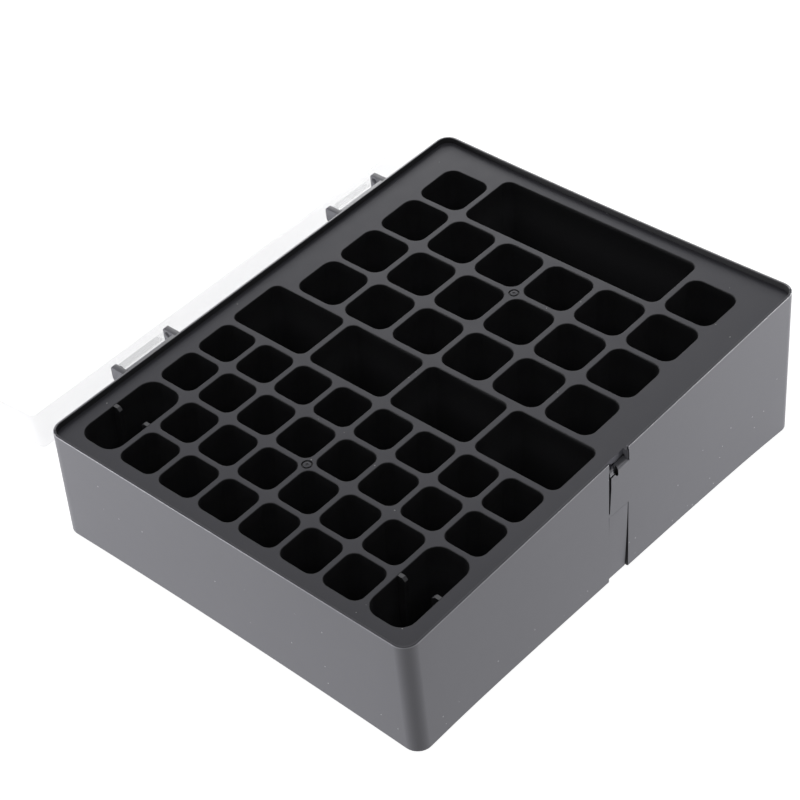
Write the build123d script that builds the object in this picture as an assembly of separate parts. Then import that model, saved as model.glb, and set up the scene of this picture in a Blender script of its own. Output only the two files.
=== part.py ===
"""Sloping battery case with a moulded cell tray and a clear hinged lid, open to the left.

Sizes are millimetres. The origin is the centre of the base face, +X points to the latch side,
+Y to the tall back and +Z up. The rim lies in one sloping plane, low at the front and high at
the back, and every height of the tray is given as a drop below that plane. The lid is drawn
closed, in the rim plane, and then turned about its hinge line to the open position.
"""

import os
from dataclasses import dataclass
from math import atan2, cos, degrees, radians, sin, tan

from build123d import *

# Wells for AAA cells: two full rows, and two shorter rows between the corner slots
AAA_WELL = 12.8
AAA_WEB = 1.8
AAA_CORNER = 2.9
AAA_COLUMNS = 8
AAA_SHORT_COLUMNS = 6

# Wells for AA cells: three full rows, and two single wells beside the long well
AA_WELL = 16.0
AA_WEB = 1.9
AA_CORNER = 3.6
AA_COLUMNS = 6
LONG_WELL_COLUMNS = 4
LONG_WELL_DEPTH = 21.5
LONG_WELL_CORNER = 3.0

# Wells for nine-volt blocks: one row
NINE_VOLT_WIDTH = 27.6
NINE_VOLT_DEPTH = 18.7
NINE_VOLT_WEB = 1.9
NINE_VOLT_CORNER = 2.6
NINE_VOLT_COLUMNS = 4

# Corner slots beside the two short AAA rows, each pinched by a pair of ribs
SLOT_WIDTH = 13.4
SLOT_CORNER = 4.4
SLOT_RIB_LENGTH = 2.4
SLOT_RIB_THICKNESS = 1.2

# Tray: webs between the groups of rows, outermost walls, floor and the two layers of its face
GROUP_WEB = 2.0
OUTER_WEB = 1.9
FLOOR_THICKNESS = 1.2
FACE_THICKNESS = 0.8
FLANGE_THICKNESS = 1.2
MARGIN_SIDE = 5.9
MARGIN_END = 5.7

# Case shell
FRONT_HEIGHT = 36.0
BACK_HEIGHT = 47.0
RIM_HEIGHT = 1.75
LIP_THICKNESS = 0.8
WALL_THICKNESS = 1.6
OUTER_CORNER = 4.4
HINGE_SIDE_FLARE = 0.0
LATCH_SIDE_FLARE = 3.6
END_TAPER = 1.1
TRAY_CLEARANCE = 0.1

# Latch side: notch in the rim, spring tongue below it and the catch block behind it
NOTCH_WIDTH = 8.5
NOTCH_CENTRE = 0.25
NOTCH_DEPTH = 4.4
SLIT_WIDTH = 0.4
TONGUE_HEIGHT = 23.0
TONGUE_LEAN = 1.7
TONGUE_GAP = 0.3
CATCH_HEIGHT = 4.0
CATCH_SLOT_WIDTH = 2.4
CATCH_SLOT_DEPTH = 3.0
CATCH_SLOT_INSET = 2.2
CATCH_SLOT_SKIN = 0.5

# Hinge side: pairs of ears with blind holes, and a thickened strip of wall between them
HINGE_OFFSET = 44.0
EAR_GAP = 18.2
EAR_THICKNESS = 1.9
EAR_REACH = 5.0
EAR_HEIGHT = 6.2
EAR_ROUND = 1.3
STRIP_THICKNESS = 0.7
STRIP_HEIGHT = 5.0
HINGE_REACH = 3.4
HINGE_DROP = 1.7
STUB_RADIUS = 0.9
STUB_LENGTH = 1.2
STUB_END_CLEARANCE = 0.15
PIN_CLEARANCE = 0.05

# Lid
LID_HEIGHT = 13.5
LID_WALL = 1.5
LID_PANEL = 1.5
LID_TAPER = 1.2
LID_EDGE_RADIUS = 1.4
LID_CLEARANCE = 0.7
LID_SEAT_GAP = 0.1
LID_OPEN_ANGLE = 187.0
KNUCKLE_RADIUS = 1.5
KNUCKLE_END_GAP = 0.4
ARM_THICKNESS = 1.8
ARM_RIM_GAP = 0.3
HOOK_THICKNESS = 1.0
HOOK_RISE = 3.5
HOOK_SIDE_GAP = 0.4
HOOK_END_GAP = 0.6
HOOK_FLOOR_GAP = 0.6

# How far a cutting tool runs past the solid that it cuts, upright and outwards
OVERCUT = 1.0
SIDE_OVERCUT = 5.0


def span(count: int, well: float, web: float) -> float:
    """Width of a row of equal wells with webs between them."""
    return count * well + (count - 1) * web


AAA_PITCH = AAA_WELL + AAA_WEB
AA_PITCH = AA_WELL + AA_WEB
TRAY_TOP_DROP = RIM_HEIGHT
WALL_TOP_DROP = RIM_HEIGHT + FACE_THICKNESS
LEDGE_DROP = WALL_TOP_DROP + FLANGE_THICKNESS

SLOT_START = span(AAA_SHORT_COLUMNS, AAA_WELL, AAA_WEB) / 2 + AAA_WEB
ROWS_WIDTH = max(
    span(AAA_COLUMNS, AAA_WELL, AAA_WEB),
    span(NINE_VOLT_COLUMNS, NINE_VOLT_WIDTH, NINE_VOLT_WEB),
    span(AA_COLUMNS, AA_WELL, AA_WEB),
    2 * (SLOT_START + SLOT_WIDTH),
)
WELLS_HALF = ROWS_WIDTH / 2 + OUTER_WEB
CASE_WIDTH = ROWS_WIDTH + 2 * MARGIN_SIDE
ROWS_DEPTH = (
    span(4, AAA_WELL, AAA_WEB)
    + NINE_VOLT_DEPTH
    + span(3, AA_WELL, AA_WEB)
    + LONG_WELL_DEPTH
    + 3 * GROUP_WEB
)
CASE_LENGTH = ROWS_DEPTH + 2 * MARGIN_END
HALF_WIDTH = CASE_WIDTH / 2
HALF_LENGTH = CASE_LENGTH / 2
SLOPE = atan2(BACK_HEIGHT - FRONT_HEIGHT, CASE_LENGTH)
MIDDLE_HEIGHT = (FRONT_HEIGHT + BACK_HEIGHT) / 2
RIM_PLANE = Plane((0, 0, MIDDLE_HEIGHT), x_dir=(1, 0, 0), z_dir=(0, -sin(SLOPE), cos(SLOPE)))

NOTCH_FRONT = NOTCH_CENTRE - NOTCH_WIDTH / 2
NOTCH_BACK = NOTCH_CENTRE + NOTCH_WIDTH / 2
HINGE_POINT = RIM_PLANE.from_local_coords(Vector(-HALF_WIDTH - HINGE_REACH, 0, -HINGE_DROP))
HINGE_AXIS = Axis(HINGE_POINT, RIM_PLANE.y_dir)
TONGUE_ROOT_HEIGHT = TONGUE_HEIGHT - TONGUE_GAP - WALL_THICKNESS / 2


@dataclass(frozen=True)
class Well:
    """One well of the tray, as a rounded box in plan."""

    x_min: float
    x_max: float
    y_min: float
    y_max: float
    corner: float


def rim_height(y: float) -> float:
    """Height of the rim plane above the base at a place along the case."""
    return MIDDLE_HEIGHT + y * tan(SLOPE)


def well_row(count: int, width: float, web: float, y_min: float, depth: float, corner: float) -> list[Well]:
    """One row of equal wells, centred across the case."""
    left = -span(count, width, web) / 2
    starts = [left + column * (width + web) for column in range(count)]
    return [Well(x, x + width, y_min, y_min + depth, corner) for x in starts]


def layout() -> dict[str, list[Well]]:
    """Every well of the tray by row, from the front of the case to its back."""
    rows: dict[str, list[Well]] = {}
    y = -HALF_LENGTH + MARGIN_END
    slot_length = span(2, AAA_WELL, AAA_WEB)
    rows["corner_slots"] = [
        Well(-SLOT_START - SLOT_WIDTH, -SLOT_START, y, y + slot_length, SLOT_CORNER),
        Well(SLOT_START, SLOT_START + SLOT_WIDTH, y, y + slot_length, SLOT_CORNER),
    ]
    for number, columns in enumerate((AAA_SHORT_COLUMNS, AAA_SHORT_COLUMNS, AAA_COLUMNS, AAA_COLUMNS), 1):
        rows[f"aaa_row_{number}"] = well_row(columns, AAA_WELL, AAA_WEB, y, AAA_WELL, AAA_CORNER)
        y += AAA_PITCH
    y += GROUP_WEB - AAA_WEB
    rows["nine_volt_row"] = well_row(
        NINE_VOLT_COLUMNS, NINE_VOLT_WIDTH, NINE_VOLT_WEB, y, NINE_VOLT_DEPTH, NINE_VOLT_CORNER
    )
    y += NINE_VOLT_DEPTH + GROUP_WEB
    for number in (1, 2, 3):
        rows[f"aa_row_{number}"] = well_row(AA_COLUMNS, AA_WELL, AA_WEB, y, AA_WELL, AA_CORNER)
        y += AA_PITCH
    y += GROUP_WEB - AA_WEB
    full_row = well_row(AA_COLUMNS, AA_WELL, AA_WEB, y, AA_WELL, AA_CORNER)
    rows["aa_row_4"] = [full_row[0], full_row[-1]]
    rows["long_well"] = well_row(
        1, span(LONG_WELL_COLUMNS, AA_WELL, AA_WEB), AA_WEB, y, LONG_WELL_DEPTH, LONG_WELL_CORNER
    )
    return rows


def sloped_block(x_min: float, x_max: float, y_min: float, y_max: float, base: float, drop: float) -> Part:
    """A block with upright sides and a flat base, whose top lies a drop below the rim plane."""
    outline = Polyline(
        (x_min, y_min, base),
        (x_min, y_max, base),
        (x_min, y_max, rim_height(y_max) - drop),
        (x_min, y_min, rim_height(y_min) - drop),
        close=True,
    )
    return extrude(make_face(outline), amount=x_max - x_min, dir=(1, 0, 0))


def sloped_sheet(x_min: float, x_max: float, y_min: float, y_max: float, top: float, bottom: float) -> Part:
    """A sheet with upright edges, lying between two drops below the rim plane."""
    outline = Polyline(
        (x_min, y_min, rim_height(y_min) - bottom),
        (x_min, y_max, rim_height(y_max) - bottom),
        (x_min, y_max, rim_height(y_max) - top),
        (x_min, y_min, rim_height(y_min) - top),
        close=True,
    )
    return extrude(make_face(outline), amount=x_max - x_min, dir=(1, 0, 0))


def upright_prism(x_min: float, x_max: float, y_min: float, y_max: float, corner: float) -> Part:
    """A rounded upright prism that runs through the whole height of the case."""
    outline = RectangleRounded(x_max - x_min, y_max - y_min, corner)
    place = Pos((x_min + x_max) / 2, (y_min + y_max) / 2, -OVERCUT)
    return place * extrude(outline, amount=BACK_HEIGHT + 2 * OVERCUT)


def tapered_body(inset: float, base: float, lift: float) -> Part:
    """The outer form of the case, drawn in by an inset all round.

    Args:
        inset: distance that every upright face is moved inwards.
        base: height of the flat bottom.
        lift: distance of the sloping top above the rim plane.

    Returns:
        A solid with flat faces and sharp corners.
    """
    hinge_flare = tan(radians(HINGE_SIDE_FLARE))
    latch_flare = tan(radians(LATCH_SIDE_FLARE))
    taper = tan(radians(END_TAPER))

    def corners(front_level: float, back_level: float) -> list[tuple[float, float, float]]:
        """The four corners of a flat section, from its heights at the front and the back."""
        front = -HALF_LENGTH + inset + (FRONT_HEIGHT - front_level) * taper
        back = HALF_LENGTH - inset - (BACK_HEIGHT - back_level) * taper
        front_drop = rim_height(front) - front_level
        back_drop = rim_height(back) - back_level
        half = HALF_WIDTH - inset
        return [
            (-half - front_drop * hinge_flare, front, front_level),
            (half + front_drop * latch_flare, front, front_level),
            (half + back_drop * latch_flare, back, back_level),
            (-half - back_drop * hinge_flare, back, back_level),
        ]

    low = corners(base, base)
    high = corners(FRONT_HEIGHT + lift, BACK_HEIGHT + lift)
    sides = [
        make_face(Polyline(low[i], low[(i + 1) % 4], high[(i + 1) % 4], high[i], close=True)) for i in range(4)
    ]
    bottom = make_face(Polyline(*low, close=True))
    top = make_face(Polyline(*high, close=True))
    return Part() + Solid(Shell([face.face() for face in (bottom, top, *sides)]))


def rounded_body(inset: float, base: float, lift: float) -> Part:
    """The tapered body with its upright corners rounded to suit the inset."""
    body = tapered_body(inset, base, lift)
    uprights = [edge for edge in body.edges() if abs(edge.tangent_at(0.5).Z) > cos(radians(30))]
    return fillet(uprights, OUTER_CORNER - inset)


def rim_block(x_min: float, x_max: float, y_min: float, y_max: float, z_min: float, z_max: float) -> Part:
    """A block square to the rim plane, with its places given in that plane and above it."""
    middle = Pos((x_min + x_max) / 2, (y_min + y_max) / 2, (z_min + z_max) / 2)
    return RIM_PLANE * middle * Box(x_max - x_min, y_max - y_min, z_max - z_min)


def rim_cylinder(radius: float, y_min: float, y_max: float) -> Part:
    """A cylinder about the hinge line, between two places along it."""
    middle = Pos(-HALF_WIDTH - HINGE_REACH, (y_min + y_max) / 2, -HINGE_DROP)
    return RIM_PLANE * middle * Rot(90, 0, 0) * Cylinder(radius, y_max - y_min)


ROWS = layout()
FIRST_ROW_Y = -HALF_LENGTH + MARGIN_END
LIP_INSET = LIP_THICKNESS + TRAY_CLEARANCE
LID_HALF_WIDTH = HALF_WIDTH - LIP_THICKNESS - LID_CLEARANCE
LID_HALF_LENGTH = HALF_LENGTH / cos(SLOPE) - LIP_THICKNESS - LID_CLEARANCE
LID_CORNER = OUTER_CORNER - LIP_THICKNESS - LID_CLEARANCE
LID_EDGE_DROP = RIM_HEIGHT - LID_SEAT_GAP
NOTCH_INNER = LID_HALF_WIDTH - HOOK_SIDE_GAP


def well_walls() -> dict[str, list[Part]]:
    """The upright walls of the tray, each a plain block that stands on the floor."""
    nodes: dict[str, list[Part]] = {}

    def wall(x_min: float, x_max: float, y_min: float, y_max: float) -> Part:
        """One wall from the floor up to the face of the tray."""
        return sloped_block(x_min, x_max, y_min, y_max, FLOOR_THICKNESS, WALL_TOP_DROP)

    def rail(name: str, half: float, y_min: float, y_max: float) -> None:
        """One wall that runs across the case between two rows."""
        nodes[f"rail_{name}"] = [wall(-half, half, y_min, y_max)]

    order = [name for name in ROWS if name.startswith(("aaa", "nine", "aa_"))]
    short_half = ROWS["aaa_row_1"][-1].x_max
    back_row = ROWS["long_well"][0]
    rail("front", WELLS_HALF, FIRST_ROW_Y - OUTER_WEB, FIRST_ROW_Y)
    for before, after in zip(order, order[1:]):
        half = short_half if after == "aaa_row_2" else WELLS_HALF
        rail(f"before_{after}", half, ROWS[before][0].y_max, ROWS[after][0].y_min)
    rail("back", WELLS_HALF, back_row.y_max, back_row.y_max + OUTER_WEB)

    for name in order[:-1]:
        wells = ROWS[name]
        y_min, y_max = wells[0].y_min, wells[0].y_max
        webs = [wall(left.x_max, right.x_min, y_min, y_max) for left, right in zip(wells, wells[1:])]
        outer = wells[-1].x_max
        edge = outer + OUTER_WEB if name.startswith("aa_") else WELLS_HALF
        if name not in ("aaa_row_1", "aaa_row_2"):
            webs += [wall(-edge, -outer, y_min, y_max), wall(outer, edge, y_min, y_max)]
        nodes[f"walls_{name}"] = webs

    slots = ROWS["corner_slots"]
    nodes["walls_corner_slots"] = [
        wall(-WELLS_HALF, slots[0].x_min, slots[0].y_min, slots[0].y_max),
        wall(slots[0].x_max, -short_half, slots[0].y_min, slots[0].y_max),
        wall(short_half, slots[1].x_min, slots[1].y_min, slots[1].y_max),
        wall(slots[1].x_max, WELLS_HALF, slots[1].y_min, slots[1].y_max),
    ]
    single = ROWS["aa_row_4"][1]
    corner_walls = []
    for side in (-1, 1):
        for x_near, x_far, y_min, y_max in (
            (back_row.x_max, single.x_min, single.y_min, back_row.y_max),
            (single.x_max, single.x_max + OUTER_WEB, single.y_min, single.y_max + OUTER_WEB),
            (single.x_min, single.x_max, single.y_max, single.y_max + OUTER_WEB),
        ):
            x_min, x_max = sorted((side * x_near, side * x_far))
            corner_walls.append(wall(x_min, x_max, y_min, y_max))
    nodes["walls_aa_row_4"] = corner_walls
    return nodes


def notch_cutter() -> Part:
    """The space of the rim notch, which the lid's hook drops into."""
    return rim_block(
        NOTCH_INNER, HALF_WIDTH + SIDE_OVERCUT, NOTCH_FRONT, NOTCH_BACK, -NOTCH_DEPTH, RIM_HEIGHT + OVERCUT
    )


def catch_slot_cutter() -> Part:
    """The narrow slot in the floor of the notch."""
    front = NOTCH_FRONT + CATCH_SLOT_INSET
    return rim_block(
        NOTCH_INNER - OVERCUT,
        HALF_WIDTH - CATCH_SLOT_SKIN,
        front,
        front + CATCH_SLOT_WIDTH,
        -NOTCH_DEPTH - CATCH_SLOT_DEPTH,
        -NOTCH_DEPTH + OVERCUT,
    )


def tray_flange() -> list[Part]:
    """The sheets under the tray's face that cover the hollow beside the wells and rest on the ledge."""
    outline = rounded_body(LIP_INSET, 0, OVERCUT)
    front_y = FIRST_ROW_Y - OUTER_WEB
    back_y = ROWS["long_well"][0].y_max + OUTER_WEB
    far_x = HALF_WIDTH + SIDE_OVERCUT
    far_y = HALF_LENGTH + SIDE_OVERCUT
    slots_end = ROWS["corner_slots"][0].y_max

    def sheet(x_min: float, x_max: float, y_min: float, y_max: float) -> Part:
        """One sheet of the flange, trimmed to the inside of the rim."""
        return outline & sloped_sheet(x_min, x_max, y_min, y_max, WALL_TOP_DROP, LEDGE_DROP)

    notch_front = NOTCH_FRONT * cos(SLOPE)
    notch_back = NOTCH_BACK * cos(SLOPE)
    sheets = [
        sheet(-far_x, -WELLS_HALF, -far_y, far_y),
        sheet(WELLS_HALF, far_x, -far_y, notch_front),
        sheet(WELLS_HALF, NOTCH_INNER, notch_front, notch_back),
        sheet(WELLS_HALF, far_x, notch_back, far_y),
        sheet(-WELLS_HALF, WELLS_HALF, -far_y, front_y),
        sheet(-WELLS_HALF, WELLS_HALF, back_y, far_y),
    ]
    for name in ("aa_row_1", "aa_row_2", "aa_row_3"):
        well = ROWS[name][-1]
        wall_side = well.x_max + OUTER_WEB
        if wall_side < WELLS_HALF:
            sheets.append(sheet(wall_side, WELLS_HALF, well.y_min, well.y_max))
            sheets.append(sheet(-WELLS_HALF, -wall_side, well.y_min, well.y_max))
    single = ROWS["aa_row_4"][1]
    back_end = ROWS["long_well"][0].y_max
    wall_end = single.y_max + OUTER_WEB
    for x_min, y_min, y_max in (
        (single.x_max + OUTER_WEB, single.y_min, wall_end),
        (single.x_min, wall_end, back_end),
    ):
        sheets.append(sheet(x_min, WELLS_HALF, y_min, y_max))
        sheets.append(sheet(-WELLS_HALF, -x_min, y_min, y_max))
    return sheets


def tray_deck() -> Part:
    """The face of the tray, with a rounded opening over every well."""
    reach = HALF_WIDTH + SIDE_OVERCUT
    face = rounded_body(LIP_INSET, 0, OVERCUT) & sloped_sheet(
        -reach, reach, -HALF_LENGTH - SIDE_OVERCUT, HALF_LENGTH + SIDE_OVERCUT, TRAY_TOP_DROP, WALL_TOP_DROP
    )
    for wells in ROWS.values():
        for well in wells:
            face -= upright_prism(well.x_min, well.x_max, well.y_min, well.y_max, well.corner)
    return face - notch_cutter()


def slot_ribs() -> list[Part]:
    """A pair of ribs halfway along each corner slot, which grip what stands in it."""
    ribs = []
    for slot in ROWS["corner_slots"]:
        middle = (slot.y_min + slot.y_max) / 2
        y_min, y_max = middle - SLOT_RIB_THICKNESS / 2, middle + SLOT_RIB_THICKNESS / 2
        for x_min in (slot.x_min, slot.x_max - SLOT_RIB_LENGTH):
            ribs.append(sloped_block(x_min, x_min + SLOT_RIB_LENGTH, y_min, y_max, FLOOR_THICKNESS, RIM_HEIGHT))
    return ribs


def catch_block() -> Part:
    """The block behind the notch, under the flange, with its slot."""
    block = rim_block(WELLS_HALF, NOTCH_INNER, NOTCH_FRONT, NOTCH_BACK, -LEDGE_DROP - CATCH_HEIGHT, 0)
    below = sloped_block(0, HALF_WIDTH, -HALF_LENGTH, HALF_LENGTH, 0, LEDGE_DROP)
    wall = rounded_body(WALL_THICKNESS, 0, 0)
    return (block & below & wall) - catch_slot_cutter()


def tongue_blank(gap: float, top: float) -> Part:
    """The stretch of the latch wall that the tongue takes, up to a height, widened by a gap."""
    front = NOTCH_FRONT * cos(SLOPE) + SLIT_WIDTH - gap
    back = NOTCH_BACK * cos(SLOPE) - SLIT_WIDTH + gap
    return Pos(0, (front + back) / 2, top / 2 - OVERCUT / 2) * Box(
        4 * HALF_WIDTH, back - front, top + OVERCUT
    ) & Pos(2 * HALF_WIDTH, 0, 0) * Box(4 * HALF_WIDTH, CASE_LENGTH, 3 * BACK_HEIGHT)


def wall_ring() -> Part:
    """The wall of the case with its ledge and thin lip, before the latch is cut."""
    reach = HALF_WIDTH + SIDE_OVERCUT
    far_y = HALF_LENGTH + SIDE_OVERCUT
    below_ledge = sloped_block(-reach, reach, -far_y, far_y, -OVERCUT, LEDGE_DROP)
    above_ledge = sloped_sheet(-reach, reach, -far_y, far_y, -OVERCUT, LEDGE_DROP)
    ring = rounded_body(0, 0, 0)
    ring -= rounded_body(WALL_THICKNESS, -OVERCUT, OVERCUT) & below_ledge
    return ring - (rounded_body(LIP_THICKNESS, -OVERCUT, OVERCUT) & above_ledge)


def tongue_turn(part: Part) -> Part:
    """Lean a piece of the latch wall inwards about the tongue's root."""
    flare = (MIDDLE_HEIGHT - TONGUE_ROOT_HEIGHT) * tan(radians(LATCH_SIDE_FLARE))
    root = Axis((HALF_WIDTH + flare - WALL_THICKNESS / 2, 0, TONGUE_ROOT_HEIGHT), (0, 1, 0))
    return part.rotate(root, TONGUE_LEAN)


def case_shell(ring: Part) -> Part:
    """The skirt of the case with the notch, the slits and the thick strips at the hinge."""
    slit_front = NOTCH_FRONT * cos(SLOPE)
    slit_top = rim_height(slit_front) - NOTCH_DEPTH + OVERCUT
    front_slit = Pos(HALF_WIDTH, slit_front + SLIT_WIDTH / 2, slit_top / 2) * Box(
        2 * SIDE_OVERCUT, SLIT_WIDTH, slit_top
    )
    shell = ring - notch_cutter() - catch_slot_cutter() - tongue_blank(SLIT_WIDTH, TONGUE_HEIGHT) - front_slit
    for side in (-1, 1):
        middle = side * HINGE_OFFSET
        shell += rim_block(
            -HALF_WIDTH - STRIP_THICKNESS,
            -HALF_WIDTH + LIP_THICKNESS / 2,
            middle - EAR_GAP / 2,
            middle + EAR_GAP / 2,
            -STRIP_HEIGHT,
            0,
        )
    return shell


def hinge_ears() -> list[Part]:
    """Two pairs of ears on the outside of the wall, with blind holes that face each other."""
    ears = []
    body = rounded_body(0, 0, 0)
    hole_depth = STUB_LENGTH + STUB_END_CLEARANCE
    for side in (-1, 1):
        for end in (-1, 1):
            inner = side * HINGE_OFFSET + end * EAR_GAP / 2
            y_min, y_max = sorted((inner, inner + end * EAR_THICKNESS))
            ear = rim_block(-HALF_WIDTH - EAR_REACH, -HALF_WIDTH + LIP_THICKNESS, y_min, y_max, -EAR_HEIGHT, 0)
            outer_edges = ear.edges().filter_by(Axis((0, 0, 0), RIM_PLANE.y_dir)).group_by(Axis.X)[0]
            ear = fillet(outer_edges, EAR_ROUND)
            y_min, y_max = sorted((inner - end * OVERCUT, inner + end * hole_depth))
            ear -= rim_cylinder(STUB_RADIUS + PIN_CLEARANCE, y_min, y_max)
            ears.append(ear - body)
    return ears


def lid_shape(inset: float, bottom: float, top: float) -> Part:
    """The tapered form of the lid, drawn in by an inset, between two heights above its edge."""
    taper = tan(radians(LID_TAPER))
    sections = [
        RIM_PLANE
        * Pos(0, 0, level - LID_EDGE_DROP)
        * RectangleRounded(
            2 * (LID_HALF_WIDTH - inset - level * taper),
            2 * (LID_HALF_LENGTH - inset - level * taper),
            LID_CORNER - inset - level * taper,
        )
        for level in (bottom, top)
    ]
    return loft(Sketch() + sections, ruled=True)


def lid_panel() -> Part:
    """The flat top of the lid, with a rounded edge."""
    panel = lid_shape(0, LID_HEIGHT - LID_PANEL, LID_HEIGHT)
    top_face = panel.faces().sort_by(Axis((0, 0, 0), RIM_PLANE.z_dir))[-1]
    return fillet(top_face.edges(), LID_EDGE_RADIUS)


def lid_skirt() -> Part:
    """The four walls of the lid as one ring under its top."""
    wall_top = LID_HEIGHT - LID_PANEL
    return lid_shape(0, 0, wall_top) - lid_shape(LID_WALL, -OVERCUT, wall_top + OVERCUT)


def lid_knuckle(side: int) -> Part:
    """A hinge barrel with its two stubs, and the arm that carries it over the rim."""
    half = EAR_GAP / 2 - KNUCKLE_END_GAP
    middle = side * HINGE_OFFSET
    stub_half = EAR_GAP / 2 + STUB_LENGTH
    hinge_x = -HALF_WIDTH - HINGE_REACH
    arm_top = ARM_RIM_GAP + ARM_THICKNESS
    barrel = rim_cylinder(KNUCKLE_RADIUS, middle - half, middle + half)
    barrel += rim_cylinder(STUB_RADIUS, middle - stub_half, middle + stub_half)
    barrel += rim_block(
        hinge_x - KNUCKLE_RADIUS, hinge_x + KNUCKLE_RADIUS, middle - half, middle + half, -HINGE_DROP, arm_top
    )
    barrel += rim_block(
        hinge_x, -LID_HALF_WIDTH + LID_WALL / 2, middle - half, middle + half, ARM_RIM_GAP, arm_top
    )
    return barrel - lid_shape(0, -OVERCUT, LID_HEIGHT)


def lid_hook() -> Part:
    """The tab on the outside of the lid's free wall that drops into the notch."""
    hook = rim_block(
        LID_HALF_WIDTH - LID_WALL / 2,
        LID_HALF_WIDTH + HOOK_THICKNESS,
        NOTCH_FRONT + HOOK_END_GAP,
        NOTCH_BACK - HOOK_END_GAP,
        HOOK_FLOOR_GAP - NOTCH_DEPTH,
        HOOK_RISE - LID_EDGE_DROP,
    )
    below = rim_block(
        0, LID_HALF_WIDTH, NOTCH_FRONT, NOTCH_BACK, -NOTCH_DEPTH, -LID_EDGE_DROP
    )
    return hook - lid_shape(0, 0, LID_HEIGHT) - below


def build() -> dict[str, list[Part]]:
    """Every piece of the case at rest, with the lid open."""
    ring = wall_ring()
    floor_front = FIRST_ROW_Y - OUTER_WEB
    floor_back = ROWS["long_well"][0].y_max + OUTER_WEB
    floor = Pos(0, (floor_front + floor_back) / 2, FLOOR_THICKNESS / 2) * Box(
        2 * WELLS_HALF, floor_back - floor_front, FLOOR_THICKNESS
    )
    nodes: dict[str, list[Part]] = {
        "case_shell": [case_shell(ring)],
        "hinge_ears": hinge_ears(),
        "tray_deck": [tray_deck()],
        "tray_flange": tray_flange(),
        "well_floor": [floor],
        "slot_ribs": slot_ribs(),
        "catch_block": [catch_block()],
        "latch_tongue": [tongue_turn(ring & tongue_blank(0, TONGUE_HEIGHT - TONGUE_GAP))],
    }
    nodes.update(well_walls())
    lid_nodes = {
        "lid_panel": lid_panel(),
        "lid_skirt": lid_skirt(),
        "lid_knuckle_front": lid_knuckle(-1),
        "lid_knuckle_rear": lid_knuckle(1),
        "lid_hook": lid_hook(),
    }
    for name, piece in lid_nodes.items():
        nodes[name] = [piece.rotate(HINGE_AXIS, -LID_OPEN_ANGLE)]
    return nodes


def main() -> None:
    """Build the case and write one file for each piece."""
    os.makedirs("parts", exist_ok=True)
    for name, solids in build().items():
        shape = solids[0] if len(solids) == 1 else Compound(children=solids)
        shape.label = name
        export_step(shape, f"parts/{name}.step")
    print(f"slope {degrees(SLOPE):.2f} degrees, hinge line through {tuple(HINGE_POINT)}")


main()
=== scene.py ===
"""Sloping charcoal battery case with a clear hinged lid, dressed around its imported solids.

Sizes are millimetres until a piece is made, and the frame is the case's own: +X to the latch side,
+Y to the tall back, +Z up, with the origin at the centre of the base. The rim lies in one sloping
plane, and a drop is a distance below that plane.
"""

import logging
import math
from collections.abc import Callable, Iterable, Sequence
from dataclasses import dataclass, field
from enum import Enum, IntEnum

import bmesh
import bpy
from mathutils import Euler, Matrix, Vector
from mathutils.geometry import delaunay_2d_cdt


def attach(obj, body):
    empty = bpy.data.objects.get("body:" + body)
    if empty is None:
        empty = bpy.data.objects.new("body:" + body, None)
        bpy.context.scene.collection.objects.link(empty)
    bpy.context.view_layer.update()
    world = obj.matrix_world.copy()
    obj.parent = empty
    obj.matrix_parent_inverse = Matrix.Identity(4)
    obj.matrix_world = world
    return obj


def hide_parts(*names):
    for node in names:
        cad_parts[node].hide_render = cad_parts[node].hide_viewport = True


logging.basicConfig(level=logging.INFO, format="%(message)s")
LOG = logging.getLogger("battery_case")

MM = 0.001
SHARP_ANGLE = 32.0
SOFT_ANGLE = 40.0
RIB_ANGLE = 30.0
FLAT_ERROR = 1e-5
SAME_PLACE = 0.0005
FACE_ON = 0.9
RAYS = ("Camera", "Transmission", "Glossy")

Point = tuple[float, float, float]
Flat = tuple[float, float]
Colour = tuple[float, float, float, float]

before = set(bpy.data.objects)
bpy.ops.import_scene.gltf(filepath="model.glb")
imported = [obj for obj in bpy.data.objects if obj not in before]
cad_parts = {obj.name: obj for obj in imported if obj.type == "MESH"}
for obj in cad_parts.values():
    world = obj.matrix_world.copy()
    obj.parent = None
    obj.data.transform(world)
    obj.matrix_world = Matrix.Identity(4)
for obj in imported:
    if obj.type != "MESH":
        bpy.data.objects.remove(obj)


# ---------------------------------------------------------------- shader boards


class Signal:
    """One output socket in a material, which Python's operators turn into Math nodes."""

    def __init__(self, board: "Board", socket: bpy.types.NodeSocket) -> None:
        """Keep the socket and the board that it is on."""
        self.board = board
        self.socket = socket

    def _math(self, operation: str, *values: "Signal | float") -> "Signal":
        """Add one Math node that works on these values."""
        return self.board.add("ShaderNodeMath", {"operation": operation}, dict(enumerate(values)))

    def __add__(self, other: "Signal | float") -> "Signal":
        """Sum."""
        return self._math("ADD", self, other)

    __radd__ = __add__

    def __sub__(self, other: "Signal | float") -> "Signal":
        """Difference."""
        return self._math("SUBTRACT", self, other)

    def __mul__(self, other: "Signal | float") -> "Signal":
        """Product."""
        return self._math("MULTIPLY", self, other)

    def above(self, edge: float) -> "Signal":
        """One where this value is over the edge, else zero."""
        return self._math("GREATER_THAN", self, edge)

    def below(self, edge: float) -> "Signal":
        """One where this value is under the edge, else zero."""
        return self._math("LESS_THAN", self, edge)

    def ramp(self, start: float, end: float) -> "Signal":
        """Zero at the start, one at the end, and smooth between them."""
        ends = {"Value": self, "From Min": start, "From Max": end}
        return self.board.add("ShaderNodeMapRange", {"interpolation_type": "SMOOTHSTEP"}, ends)


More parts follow.
